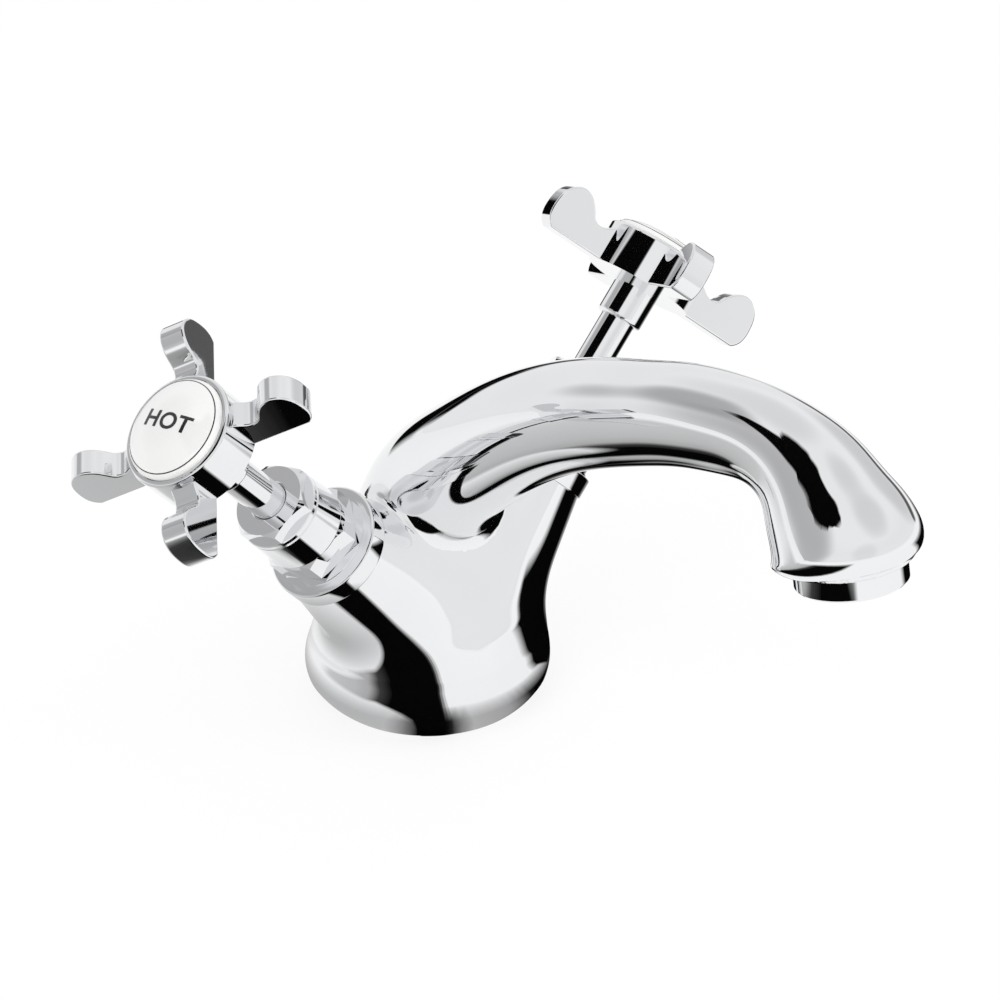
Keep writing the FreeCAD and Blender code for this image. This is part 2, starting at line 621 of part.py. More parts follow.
def add_bonnet(name, side):
    """Bonnet with threaded foot, washer face, hexagon and barrel; its bore guides and packs the spindle."""
    body = new_body(name + "_bonnet")
    face = bonnet_face - bonnet_foot
    flange_top = face + size.bonnet_flange_height
    hex_top = flange_top + size.bonnet_hex_height
    top = hex_top + size.barrel_height
    packing_foot = spindle_travel_top() - bonnet_foot + size.throat_height
    thread = size.bonnet_thread_radius - size.running_gap
    nut_thread = size.spindle_thread_radius + size.running_gap
    edge = size.barrel_edge
    turn(body, "Revolution", "shell", (
        (nut_thread, NIL), (thread, NIL), (thread, face), (size.bonnet_flange_radius, face),
        (size.bonnet_flange_radius, flange_top), (size.barrel_foot_radius - edge, flange_top),
        (size.barrel_foot_radius, hex_top), (size.barrel_top_radius, top - edge),
        (size.barrel_top_radius - edge, top), (size.packing_radius, top), (size.packing_radius, packing_foot),
        (size.throat_radius, packing_foot), (size.throat_radius, packing_foot - size.throat_height),
        (nut_thread, packing_foot - size.throat_height)))
    hexagon_on(body, size.bonnet_hex_across, flange_top, size.bonnet_hex_height, size.bonnet_hex_chamfer,
               nut_thread)
    on_valve(body, side, bonnet_foot, size.bonnet_turn)


def spindle_travel_top():
    """Station that the spindle's thread reaches when the valve is fully open, with a little room."""
    return spindle_foot + size.spindle_thread_length + size.spindle_lift + size.closed_gap


def add_bonnet_washer(name, side):
    body = new_body(name + "_bonnet_washer")
    turn(body, "Revolution", "ring", (
        (size.bonnet_thread_radius, NIL), (size.bonnet_washer_radius, NIL),
        (size.bonnet_washer_radius, size.bonnet_washer_thickness),
        (size.bonnet_thread_radius, size.bonnet_washer_thickness)))
    on_valve(body, side, size.branch_reach)


def add_gland(name, side):
    """Gland nut with its flange and hexagon, and the packing ring that it presses on the spindle."""
    packing_foot = spindle_travel_top() + size.throat_height
    packing = new_body(name + "_gland_packing")
    outer = size.packing_radius - size.running_gap
    turn(packing, "Revolution", "ring", (
        (size.throat_radius, NIL), (outer, NIL), (outer, size.packing_height),
        (size.throat_radius, size.packing_height)))
    on_valve(packing, side, packing_foot)

    nut = new_body(name + "_gland_nut")
    nut_foot = packing_foot + size.packing_height
    shoulder = bonnet_top - nut_foot
    flange_top = shoulder + size.gland_flange_height
    top = flange_top + size.gland_hex_height
    mouth = size.gland_mouth_radius - size.throat_radius
    edge = size.gland_flange_edge
    turn(nut, "Revolution", "shell", (
        (size.throat_radius, NIL), (outer, NIL), (outer, shoulder), (size.gland_flange_radius - edge, shoulder),
        (size.gland_flange_radius, shoulder + edge), (size.gland_flange_radius, flange_top - edge),
        (size.gland_flange_radius - edge, flange_top), (size.throat_radius, flange_top)))
    hexagon(nut, "hexagon", size.gland_hex_across, flange_top, size.gland_hex_height, size.gland_hex_chamfer,
            False)
    turn(nut, "Groove", "mouth", (
        (NIL, flange_top), (size.throat_radius, flange_top), (size.throat_radius, top - mouth),
        (size.gland_mouth_radius, top), (NIL, top)))
    on_valve(nut, side, nut_foot, size.gland_turn)


def add_spindle(name, side):
    """Rising spindle: lifting thread, bare stem, square drive, jumper socket and screw hole."""
    body = new_body(name + "_spindle")
    drive_foot = handle_foot + size.drive_shoulder - spindle_foot
    top = handle_foot + web_foot - spindle_foot - size.screw_gap
    socket = size.jumper_stem_length + size.jumper_end_gap * 2
    turn(body, "Revolution", "shaft", (
        (NIL, NIL), (size.spindle_thread_radius, NIL), (size.spindle_thread_radius, size.spindle_thread_length),
        (size.stem_radius, size.spindle_thread_length), (size.stem_radius, drive_foot), (NIL, drive_foot)))
    corner = size.drive_across / math.sqrt(2)
    prism(body, "Additive", "drive", 4, corner, drive_foot, top - drive_foot)
    jumper = size.jumper_stem_radius + size.running_gap
    turn(body, "Groove", "jumper_socket", ((NIL, NIL), (jumper, NIL), (jumper, socket), (NIL, socket)))
    hole_foot = top - size.screw_length
    turn(body, "Groove", "screw_hole", (
        (NIL, hole_foot), (size.screw_radius, hole_foot), (size.screw_radius, top), (NIL, top)))
    on_valve(body, side, spindle_foot, getattr(size, name + "_handle_turn"))


def add_jumper(name, side):
    """Jumper: plate and stem over the tap washer, with the threaded tail that carries washer and nut."""
    body = new_body(name + "_jumper")
    plate = size.washer_nut_height + size.tap_washer_height
    plate_top = plate + size.jumper_plate_height
    top = plate_top + size.jumper_stem_length
    turn(body, "Revolution", "jumper", (
        (NIL, NIL), (size.jumper_tail_radius, NIL), (size.jumper_tail_radius, plate),
        (size.jumper_plate_radius, plate), (size.jumper_plate_radius, plate_top),
        (size.jumper_stem_radius, plate_top), (size.jumper_stem_radius, top), (NIL, top)))
    on_valve(body, side, jumper_foot)

    washer = new_body(name + "_tap_washer")
    turn(washer, "Revolution", "ring", (
        (size.jumper_tail_radius, NIL), (size.tap_washer_radius, NIL),
        (size.tap_washer_radius, size.tap_washer_height), (size.jumper_tail_radius, size.tap_washer_height)))
    on_valve(washer, side, tap_washer_foot)

    nut = new_body(name + "_washer_nut")
    prism(nut, "Additive", "hexagon", 6, size.washer_nut_across * (FLAT_TO_CORNER / 2), NIL,
          size.washer_nut_height)
    turn(nut, "Groove", "bore", (
        (NIL, NIL), (size.jumper_tail_radius, NIL), (size.jumper_tail_radius, size.washer_nut_height),
        (NIL, size.washer_nut_height)))
    on_valve(nut, side, jumper_foot)


# An arm's ear in its own plane: shares of the arm's reach outwards and of its height upwards, from the corner
# under the tip, round the tip and the crown, down into the notch and up again into the hub
EAR_SHARES = (
    (0.925, 0.0),
    (0.984, 0.16),
    (1.0, 0.5),
    (0.962, 0.82),
    (0.852, 1.0),
    (0.745, 0.93),
    (0.672, 0.74),
    (0.615, 0.575),
    (0.555, 0.555),
    (0.5, 0.62),
    (0.452, 0.69),
)


def ear_solid():
    """One arm: a wing-nut ear in the plane of the handle's axis, with rounded long edges."""
    side_face = -size.arm_thickness.value / 2
    points = [Vector(out * size.arm_reach.value, side_face, hub_foot.value + up * size.arm_height.value)
              for out, up in EAR_SHARES]
    inside = (size.hub_radius.value + size.index_radius.value + size.index_gap.value) / 2
    foot = Vector(inside, side_face, hub_foot.value)
    root = Vector(inside, side_face, points[-1].z)
    crown = Part.BSplineCurve()
    crown.interpolate(points)
    outline_edges = (
        Part.LineSegment(foot, points[0]).toShape(),
        crown.toShape(),
        Part.LineSegment(points[-1], root).toShape(),
        Part.LineSegment(root, foot).toShape(),
    )
    face = Part.Face(Part.Wire(outline_edges))
    ear = face.extrude(Vector(0, size.arm_thickness.value, 0))
    long_edges = [edge for edge in ear.Edges
                  if edge.BoundBox.YLength < size.arm_round.value
                  and edge.BoundBox.XMax > size.hub_radius.value]
    return ear.makeFillet(size.arm_round.value, long_edges)


def handle_blank():
    """Hub and neck of the handle, turned, with the index recess, screw seat and drive socket."""
    edge = size.hub_edge.value
    foot_edge = size.neck_edge.value
    hub = size.hub_radius.value
    neck = size.neck_radius.value
    top = hub_top.value
    bend_share = 1 - math.sqrt(0.5)
    recess = size.index_radius.value + size.index_gap.value
    hole = size.screw_radius.value + size.screw_gap.value
    head = size.screw_head_radius.value + size.screw_gap.value
    socket = size.stem_radius.value + size.running_gap.value
    points = [
        Vector(socket, 0, 0), Vector(neck - foot_edge, 0, 0), Vector(neck, 0, foot_edge),
        Vector(neck, 0, hub_foot.value), Vector(hub, 0, hub_foot.value), Vector(hub, 0, top - edge),
        Vector(hub - edge, 0, top), Vector(recess, 0, top), Vector(recess, 0, index_floor.value),
        Vector(head, 0, index_floor.value), Vector(head, 0, screw_seat.value), Vector(hole, 0, screw_seat.value),
        Vector(hole, 0, web_foot.value), Vector(socket, 0, web_foot.value),
    ]
    edges = []
    for index, start in enumerate(points):
        end = points[(index + 1) % len(points)]
        if index == 1:
            mid = Vector(neck - foot_edge * bend_share, 0, foot_edge * bend_share)
            edges.append(Part.Arc(start, mid, end).toShape())
        elif index == 5:
            mid = Vector(hub - edge * bend_share, 0, top - edge * bend_share)
            edges.append(Part.Arc(start, mid, end).toShape())
        else:
            edges.append(Part.LineSegment(start, end).toShape())
    face = Part.Face(Part.Wire(edges))
    return face.revolve(Vector(0, 0, 0), Vector(0, 0, 1), 360)


def drive_filler():
    """Metal left round the square drive: the round socket is only round up to its shoulder."""
    across = size.drive_across.value + 2 * size.drive_gap.value
    low = size.drive_shoulder.value
    height = web_foot.value - low
    plug = Part.makeCylinder(size.stem_radius.value + size.running_gap.value, height, Vector(0, 0, low))
    square = Part.makeBox(across, across, height, Vector(-across / 2, -across / 2, low))
    square.rotate(Vector(0, 0, 0), Vector(0, 0, 1), 45)
    return plug.cut(square)


def add_handle(name, side):
    """Crosshead handle: hub and neck with four ears."""
    solid = handle_blank().fuse(drive_filler())
    ear = ear_solid()
    for quarter in range(4):
        arm = ear.copy()
        arm.rotate(Vector(0, 0, 0), Vector(0, 0, 1), 90 * quarter)
        solid = solid.fuse(arm)
    solid = solid.removeSplitter()
    handle = doc.addObject("Part::Feature", name + "_handle")
    handle.Label = name + "_handle"
    handle.Shape = solid.Solids[0] if len(solid.Solids) == 1 else solid
    on_valve(handle, side, handle_foot, getattr(size, name + "_handle_turn"))


def add_handle_screw(name, side):
    """Slotted screw that holds the handle on the spindle, under the index."""
    body = new_body(name + "_handle_screw")
    shank = size.screw_radius - size.running_gap
    length = size.screw_length - size.drive_gap * 2
    top = length + size.screw_head_height
    turn(body, "Revolution", "screw", (
        (NIL, NIL), (shank, NIL), (shank, length), (size.screw_head_radius, length),
        (size.screw_head_radius, top), (NIL, top)))
    slot = body.newObject("PartDesign::SubtractiveBox", body.Name + "_slot")
    slot.AttachmentSupport = [(plane_of(body, "XY_Plane"), "")]
    slot.MapMode = "FlatFace"
    slot.setExpression("Length", text_of(size.screw_head_radius * 2 + size.cut_overrun))
    slot.setExpression("Width", text_of(size.screw_slot_width))
    slot.setExpression("Height", text_of(size.screw_head_height / 2 + size.cut_overrun))
    slot.setExpression("AttachmentOffset.Base.x", "-" + text_of(size.screw_head_radius + size.cut_overrun / 2))
    slot.setExpression("AttachmentOffset.Base.y", "-" + text_of(size.screw_slot_width / 2))
    slot.setExpression("AttachmentOffset.Base.z", text_of(top - size.screw_head_height / 2))
    on_valve(body, side, handle_foot + screw_seat - length, getattr(size, name + "_handle_turn"))


def add_index(name, side):
    """Domed porcelain disc set in the top of the hub."""
    body = new_body(name + "_index")
    steps = 8
    corners = [(NIL, NIL), (size.index_radius, NIL), (size.index_radius, size.index_depth)]
    for step in range(1, steps):
        angle = step * math.pi / 2 / steps
        corners.append((size.index_radius * math.cos(angle),
                        size.index_depth + size.index_dome * math.sin(angle)))
    corners.append((NIL, size.index_depth + size.index_dome))
    turn(body, "Revolution", "dome", corners)
    on_valve(body, side, handle_foot + index_floor, getattr(size, name + "_handle_turn"))


add_body()
add_base_seal()
add_aerator()
for name, side in (("hot", -1), ("cold", 1)):
    add_seat(name, side)
    add_bonnet(name, side)
    add_bonnet_washer(name, side)
    add_gland(name, side)
    add_spindle(name, side)
    add_jumper(name, side)
    add_handle(name, side)
    add_handle_screw(name, side)
    add_index(name, side)
doc.recompute()

parts = [item for item in doc.Objects if item.isDerivedFrom("PartDesign::Body") or item.TypeId == "Part::Feature"]
faults = ["%s is %s" % (item.Label, item.State) for item in doc.Objects
          if "Invalid" in item.State or "Error" in item.State]
for part in parts:
    if part.Shape.isNull() or not part.Shape.isValid():
        faults.append(part.Label + " has no valid shape")
if faults:
    raise SystemExit("\n".join(faults))

os.makedirs("parts", exist_ok=True)
for part in parts:
    part.Shape.exportStep("parts/%s.step" % part.Label)
    print("%-22s %2d solid  volume %9.1f" % (part.Label, len(part.Shape.Solids), part.Shape.Volume))
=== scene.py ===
import math

import bmesh
import bpy
import numpy as np
from mathutils import Matrix, Vector


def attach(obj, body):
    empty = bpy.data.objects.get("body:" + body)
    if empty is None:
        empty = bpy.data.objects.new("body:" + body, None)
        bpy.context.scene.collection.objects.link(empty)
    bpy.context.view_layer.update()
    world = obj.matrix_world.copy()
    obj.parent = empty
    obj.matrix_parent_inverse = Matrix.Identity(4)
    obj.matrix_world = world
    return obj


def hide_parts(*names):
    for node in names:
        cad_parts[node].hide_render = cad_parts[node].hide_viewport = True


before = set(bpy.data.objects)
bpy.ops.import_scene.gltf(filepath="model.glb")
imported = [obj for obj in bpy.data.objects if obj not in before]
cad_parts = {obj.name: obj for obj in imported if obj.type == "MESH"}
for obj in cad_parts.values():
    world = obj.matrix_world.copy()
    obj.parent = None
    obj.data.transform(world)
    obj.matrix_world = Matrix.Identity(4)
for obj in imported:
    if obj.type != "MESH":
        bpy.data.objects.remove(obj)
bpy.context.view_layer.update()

bl_info = {
    "name": "Basin mixer tap",
    "version": (1, 0, 0),
    "blender": (4, 5, 0),
    "location": "3D View > Sidebar > Tap",
    "description": "Dresses a packed basin mixer tap with smooth castings, dials, finishes and a studio",
    "category": "Object",
}

MM = 0.001
SIDES = (("hot", -1), ("cold", 1))

# Spout sections from the waist to the bell's mouth: y, z and radius, in millimetres
SPOUT_SECTIONS = (
    (0, 15.3, 24.1), (0.2, 25.8, 21.05), (0, 36.6, 17.4), (-2.4, 48.5, 14.6), (-14.7, 62.1, 13.2),
    (-30.2, 74.3, 12.3), (-42.9, 82.1, 11.7), (-57.0, 88.5, 11.1), (-67.7, 92.4, 10.55),
    (-79.2, 96.2, 10.24), (-91.0, 98.6, 9.84), (-99.8, 99.5, 9.5), (-107.8, 98.25, 9.99),
    (-113.6, 95.2, 11.4), (-117.2, 91.3, 12.76), (-120.3, 87.95, 14.09), (-122.5, 84.75, 15.09),
    (-123.26, 81.82, 15.5),
)
# Heading of the spout's last section, y and z
MOUTH_HEADING = (-0.19937, -0.97992)
SPOUT_SAMPLES = 900
# Rounds in which the spout's centreline and radius are evened out along its length
FAIRING_PASSES = 260
# Search for a point's section: points in a batch, rounds, and share of the offset taken in each
BATCH, SEEK_ROUNDS, SEEK_SHARE = 20000, 10, 0.45

# Where the bulb's outline passes under and over its widest place, as shares of its swell and height, and the
# points on each arc
BULB_UNDER, BULB_OVER, ARC_POINTS = (0.707, 0.33), ((0.92, 0.36), (0.5, 0.7)), 60
# Table of the bulb's distance, in millimetres: cell, lowest height, and how far out and up it reaches
MAP_CELL, MAP_LOW, MAP_OUT, MAP_UP = 0.2, -8, 62, 50

# In millimetres: how far a branch runs up inside its collar, the casting's spare skin under the deck, and the
# box of the casting's grid
COLLAR_OVERLAP = 2.5
FOOT_SPARE = 2
CASTING_BOX = ((-44, -141, -4), (44, 29, 112))

# Round cuts in the casting: radius, foot and top along the cut's own axis, in metres
SEAL_GROOVE, SEAL_GROOVE_CORE = (0.0174, -0.001, 0.0016), 0.0142
STUD_HOLE, STUD_PLACE = (0.004, -0.001, 0.012), (0, 0.0086, 0)
INLET_HOLE, INLET_APART = (0.005, -0.001, 0.011), 0.0072
VALVE_BORES = ((0.0055, 0.0225, 0.0276), (0.0073, 0.0275, 0.0369), (0.00833, 0.0368, 0.05))
COLLAR_BORE = (0.00833, 0.039, 0.047)
OUTLET_BORE, OUTLET_PLACE, OUTLET_LEAN = (0.0101, 0.0035, 0.0125), (0, -0.1241, 0.0777), -11.5
COLLAR_EDGE, COLLAR_FLAT = 0.00055, 0.0115
# Rounds in which the casting's points slide on to its skin, and the share of the way taken in each
SLIDE_ROUNDS, SLIDE_SHARE = 3, 0.9
# Vertices this near to the skin, in millimetres, take their shading from the distance's slope
SKIN_NEAR = 0.12

# Print on the dials: turn and width of each word, its shift along the dial, and heights over and under the
# glaze
DIAL_TURNS = {"hot": math.radians(-78.9), "cold": math.radians(-101.1)}
DIAL_WORDS = {"hot": "HOT", "cold": "COLD"}
WORD_STRETCH = {"hot": 1, "cold": 1.18}
WORD_SHIFT = 0.0005
# The text curve's extra weight, spacing and longest edge, in its own units
WORD_WEIGHT, WORD_SPACING, LETTER_CELL = 0.022, 1.08, 0.12
WORD_LIFT, RING_LIFT, PRINT_ROOT = 0.00006, 0.00005, -0.0001
RING_HALF_WIDTH = 0.00009


def length(name, default, description):
    """A size given in millimetres."""
    return bpy.props.FloatProperty(name=name, description=description, default=default * MM, unit="LENGTH",
                                   precision=5)


def colour(name, default, description):
    """A colour in linear light."""
    return bpy.props.FloatVectorProperty(name=name, description=description, default=default, subtype="COLOR",
                                         size=3, min=0, max=1)


class TapSizes(bpy.types.PropertyGroup):
    """Sizes of the tap's dressed pieces, which follow the CAD part's own sizes."""

    base_radius: length("Base radius", 26.8, "Widest radius of the base bulb")
    base_widest: length("Base widest height", 7.3, "Height of the bulb's widest place")
    foot_radius: length("Foot radius", 18.8, "Radius of the foot on the deck")
    waist_radius: length("Waist radius", 24.1, "Radius of the waist over the bulb")
    waist_height: length("Waist height", 15.3, "Height of the waist")
    waist_blend: length("Waist blend", 6.0, "How softly the neck runs into the bulb")
    valve_tilt: bpy.props.FloatProperty(name="Valve tilt", description="Lean of each valve from upright",
                                        default=math.radians(43.2), subtype="ANGLE")
    valve_forward: length("Valve forward", 2.9, "Valve axes' distance in front of the centre")
    valve_height: length("Valve height", 15.5, "Height at which the valve axes cross")
    branch_root: length("Branch root radius", 19.4, "Radius of a branch where the axes cross")
    branch_end: length("Branch end radius", 12.5, "Radius of a branch under its collar")
    branch_blend: length("Branch blend", 10.0, "How softly a branch runs into the body")
    collar_foot: length("Collar foot", 40.6, "Station of the collar's lower edge")
    collar_top: length("Collar top", 45.3, "Station of the collar's face")
    collar_radius: length("Collar radius", 12.9, "Radius of the collar")
    lip_round: length("Bell lip rounding", 4.4, "Rounding of the bell's lip")
    skin_step: length("Casting mesh step", 0.85, "Cell size of the casting's mesh")
    dial_station: length("Dial station", 98.0, "Station of the hub's top face")
    dial_radius: length("Dial radius", 11.25, "Radius of the porcelain dial")
    dial_rise: length("Dial rise", 3.3, "Rise of the dial's dome")
    dial_depth: length("Dial depth", 2.4, "Depth of the dial's rim in the hub")
    letter_width: length("Word width", 12.2, "Width of the word on a dial")
    letter_height: length("Letter height", 3.7, "Height of the letters on a dial")
    ring_radius: length("Dial ring radius", 10.4, "Radius of the printed ring near the dial's edge")


class TapColours(bpy.types.PropertyGroup):
    """Colours of the tap's finishes."""

    chrome: colour("Chrome", (0.85, 0.855, 0.865), "Polished chrome plate")
    porcelain: colour("Porcelain", (0.86, 0.86, 0.845), "Glazed white dials")
    print_ink: colour("Dial print", (0.012, 0.012, 0.014), "Fired black print on the dials")
    brass: colour("Brass", (0.72, 0.5, 0.2), "Turned brass inside the valves")
    steel: colour("Steel", (0.5, 0.5, 0.51), "Turned steel screws")
    rubber: colour("Rubber", (0.02, 0.02, 0.022), "Black rubber washers and seal")
    fibre: colour("Fibre", (0.35, 0.08, 0.04), "Red fibre washers")
    packing: colour("Packing", (0.75, 0.74, 0.7), "White gland packing")
    acetal: colour("Acetal", (0.7, 0.71, 0.72), "Moulded straightener and screen")
    floor: colour("Floor", (0.9, 0.9, 0.9), "Pale floor")


# Shapes


def spline_through(points, samples):
    """A clamped cubic spline through the points, by chord length. Its second slopes solve one linear system,
    and its ends run straight up from the waist and straight along the outlet's axis. Returns lengths and
    places."""
    t = np.r_[0, np.cumsum(np.linalg.norm(np.diff(points[:, :2], axis=0), axis=1))]
    h = np.diff(t)
    n = len(t)
    first = np.array((0, 1, (points[1, 2] - points[0, 2]) / h[0]))
    last = np.array((*MOUTH_HEADING, 0))
    m = np.zeros((n, n))
    rhs = np.zeros((n, 3))
    i = np.arange(1, n - 1)
    m[i, i - 1] = h[:-1]
    m[i, i] = 2 * (h[:-1] + h[1:])
    m[i, i + 1] = h[1:]
    chord = np.diff(points, axis=0) / h[:, None]
    rhs[1:-1] = 6 * (chord[1:] - chord[:-1])
    m[0, 0], m[0, 1] = 2 * h[0], h[0]
    rhs[0] = 6 * (chord[0] - first)
    m[-1, -1], m[-1, -2] = 2 * h[-1], h[-1]
    rhs[-1] = 6 * (last - chord[-1])
    c = np.linalg.solve(m, rhs)
    u = np.linspace(0, t[-1], samples)
    k = np.clip(np.searchsorted(t, u) - 1, 0, n - 2)
    a, b, w = (t[k + 1] - u)[:, None], (u - t[k])[:, None], h[k][:, None]
    place = ((c[k] * a**3 + c[k + 1] * b**3) / (6 * w) + (points[k] / w - c[k] * w / 6) * a
             + (points[k + 1] / w - c[k + 1] * w / 6) * b)
    return u, place


def arc_through(start, middle, end, count):
    """Points on the circle through three points of an outline, radius and height."""
    (ax, az), (bx, bz), (cx, cz) = start, middle, end
    q = 2 * (ax * (bz - cz) + bx * (cz - az) + cx * (az - bz))
    a2, b2, c2 = ax**2 + az**2, bx**2 + bz**2, cx**2 + cz**2
    x = (a2 * (bz - cz) + b2 * (cz - az) + c2 * (az - bz)) / q
    z = (a2 * (cx - bx) + b2 * (ax - cx) + c2 * (bx - ax)) / q
    radius = math.hypot(ax - x, az - z)
    turn = np.linspace(math.atan2(az - z, ax - x), math.atan2(cz - z, cx - x), count)
    return np.c_[x + radius * np.cos(turn), z + radius * np.sin(turn)]


def soft_union(a, b, reach):
    """The nearer of two distances, less a sixth of reach times the cube of how alike they are: a fillet whose
    curvature fades in, so that reflections run over it without a kink."""
    ease = np.clip(reach - np.abs(a - b), 0, None) / reach
    return np.minimum(a, b) - ease**3 * reach / 6


class Casting:
    """Distance to the cast body's skin: the bulb turned about the upright axis, the spout's round sections
    carried along their spline, and two cones along the valve axes, joined by soft unions. In millimetres."""

    def __init__(self, s):
        u, place = spline_through(np.array(SPOUT_SECTIONS, float), SPOUT_SAMPLES)
        for _ in range(FAIRING_PASSES):
            place[2:-2] = (place[1:-3] + 2 * place[2:-2] + place[3:-1]) / 4
        slope = np.gradient(place, u, axis=0)
        run = np.hypot(slope[:, 0], slope[:, 1])
        self.along, self.centre, self.radius = u, place[:, :2], place[:, 2]
        self.heading, self.flare = slope[:, :2] / run[:, None], slope[:, 2] / run
        foot, base, neck = s.foot_radius / MM, s.base_radius / MM, s.waist_radius / MM
        low, waist = s.base_widest / MM, s.waist_height / MM
        swell = base - neck
        middle = (foot + (base - foot) * BULB_UNDER[0], low * BULB_UNDER[1])
        under = arc_through((foot, 0), middle, (base, low), ARC_POINTS)
        places = [(neck + swell * out, low + (waist - low) * up) for out, up in BULB_OVER]
        over = arc_through((base, low), *places, ARC_POINTS)
        above = over[-1] + (np.array((neck, waist)) - over[-1]) * 3
        outline = np.concatenate([[(0, 0)], under, over[1:], [above, (0, above[1])]])
        self.bulb_map = self.outline_distance(outline, np.arange(0, MAP_OUT, MAP_CELL),
                                              np.arange(MAP_LOW, MAP_UP, MAP_CELL))
        self.waist_blend, self.branch_blend = s.waist_blend / MM, s.branch_blend / MM
        self.start = np.array((0, -s.valve_forward / MM, s.valve_height / MM))
        self.tilt, self.reach = s.valve_tilt, s.collar_foot / MM
        self.root, self.end, self.lip = s.branch_root / MM, s.branch_end / MM, s.lip_round / MM

    def spout(self, x, y, z):
        """Distance across the nearest section to its circle, with the mouth's lip rounded off. The spout lies
        in the middle plane, so the nearest section depends on y and z alone. The nearest sample is found
        first, and its length along the spline is then corrected by the offset along its heading, in damped
        steps."""
        shape = np.broadcast(y, z).shape
        q = np.stack([np.broadcast_to(y, shape), np.broadcast_to(z, shape)], -1).reshape(-1, 2)
        at = np.empty(len(q))
        for k in range(0, len(q), BATCH):
            gap = ((q[k:k + BATCH, None, :] - self.centre[None, ::3]) ** 2).sum(-1)
            at[k:k + BATCH] = self.along[::3][gap.argmin(1)]
        for _ in range(SEEK_ROUNDS):
            off, _ = self.section(q, at)
            at = np.clip(at + SEEK_SHARE * np.clip(off, -1, 1), 0, self.along[-1])
        off, side = self.section(q, at)
        past = (at + off).reshape(shape)
        radius = np.interp(at, self.along, self.radius).reshape(shape)
        flare = np.interp(at, self.along, self.flare).reshape(shape)
        wall = (np.sqrt(x * x + side.reshape(shape) ** 2) - radius) / np.sqrt(1 + flare * flare)
        mouth, lip = past - self.along[-1], self.lip
        rounded = (np.minimum(np.maximum(wall + lip, mouth + lip), 0)
                   + np.hypot(np.maximum(wall + lip, 0), np.maximum(mouth + lip, 0)) - lip)
        return np.maximum(rounded, MAP_LOW - past)

    def section(self, q, at):
        """Offset of points along the heading of the spline at given lengths, and their distance across it."""
        centre = np.stack([np.interp(at, self.along, self.centre[:, i]) for i in (0, 1)], -1)
        heading = np.stack([np.interp(at, self.along, self.heading[:, i]) for i in (0, 1)], -1)
        heading /= np.linalg.norm(heading, axis=-1, keepdims=True)
        off = ((q - centre) * heading).sum(-1)
        return off, np.linalg.norm(q - centre - off[:, None] * heading, axis=-1)

    def outline_distance(self, outline, across, up):
        """Signed distance to a turned outline, tabled over radius and height: the least distance to its
        straight pieces, negative inside."""
        r, z = (g.ravel() for g in np.meshgrid(across, up, indexing="ij"))
        least = np.full(r.shape, 1e9)
        inside = np.zeros(r.shape, bool)
        for (ar, az), (br, bz) in zip(outline, np.roll(outline, -1, axis=0)):
            dr, dz = br - ar, bz - az
            share = np.clip(((r - ar) * dr + (z - az) * dz) / max(dr * dr + dz * dz, 1e-12), 0, 1)
            if max(ar, br) > 0:
                least = np.minimum(least, (r - ar - share * dr) ** 2 + (z - az - share * dz) ** 2)
            if az != bz:
                inside ^= ((az > z) != (bz > z)) & (r < dr * (z - az) / dz + ar)
        return (np.where(inside, -1, 1) * np.sqrt(least)).reshape(len(across), len(up))

    def bulb(self, x, y, z):
        """The tabled distance, read between its places in radius and height by linear weights."""
        r, h = np.broadcast_arrays(np.clip(np.hypot(x, y), 0, MAP_OUT - 1) / MAP_CELL,
                                   np.clip(z - MAP_LOW, 0, MAP_UP - MAP_LOW - 1) / MAP_CELL)
        i, j = r.astype(int), h.astype(int)
        u, v = r - i, h - j
        t = self.bulb_map
        low = t[i, j] * (1 - u) + t[i + 1, j] * u
        high = t[i, j + 1] * (1 - u) + t[i + 1, j + 1] * u
        return low * (1 - v) + high * v

    def branch(self, x, y, z, side):
        """Distance to a cone along a valve's axis, narrowing to its collar, whose root is closed by a ball
        that runs straight into the cone's side."""
        axis = np.array((side * math.sin(self.tilt), 0, math.cos(self.tilt)))
        px, py, pz = x - self.start[0], y - self.start[1], z - self.start[2]
        station = px * axis[0] + pz * axis[2]
        away = np.sqrt(np.maximum(px * px + py * py + pz * pz - station * station, 0))
        half = math.atan((self.root - self.end) / self.reach)
        cone = (away - self.root) * math.cos(half) + station * math.sin(half)
        ball = self.root / math.cos(half)
        end = np.hypot(station + ball * math.sin(half), away) - ball
        along = station * math.cos(half) - (away - self.root) * math.sin(half)
        return np.maximum(np.where(along < 0, end, cone), station - self.reach - COLLAR_OVERLAP)

    def __call__(self, x, y, z):
        """Spout and bulb in one, then each branch, cut off flat a little under the deck."""
        skin = soft_union(self.spout(x, y, z), self.bulb(x, y, z), self.waist_blend)
        for _, side in SIDES:
            skin = soft_union(skin, self.branch(x, y, z, side), self.branch_blend)
        return np.maximum(skin, -FOOT_SPARE - z)

    def normals(self, p, step=0.2):
        """Directions in which the distance grows fastest, by central differences."""
        found = []
        for axis in range(3):
            shift = np.eye(3)[axis] * step
            found.append(self(*(p + shift).T) - self(*(p - shift).T))
        g = np.stack(found, -1)
        return g / np.maximum(np.linalg.norm(g, axis=-1, keepdims=True), 1e-9)


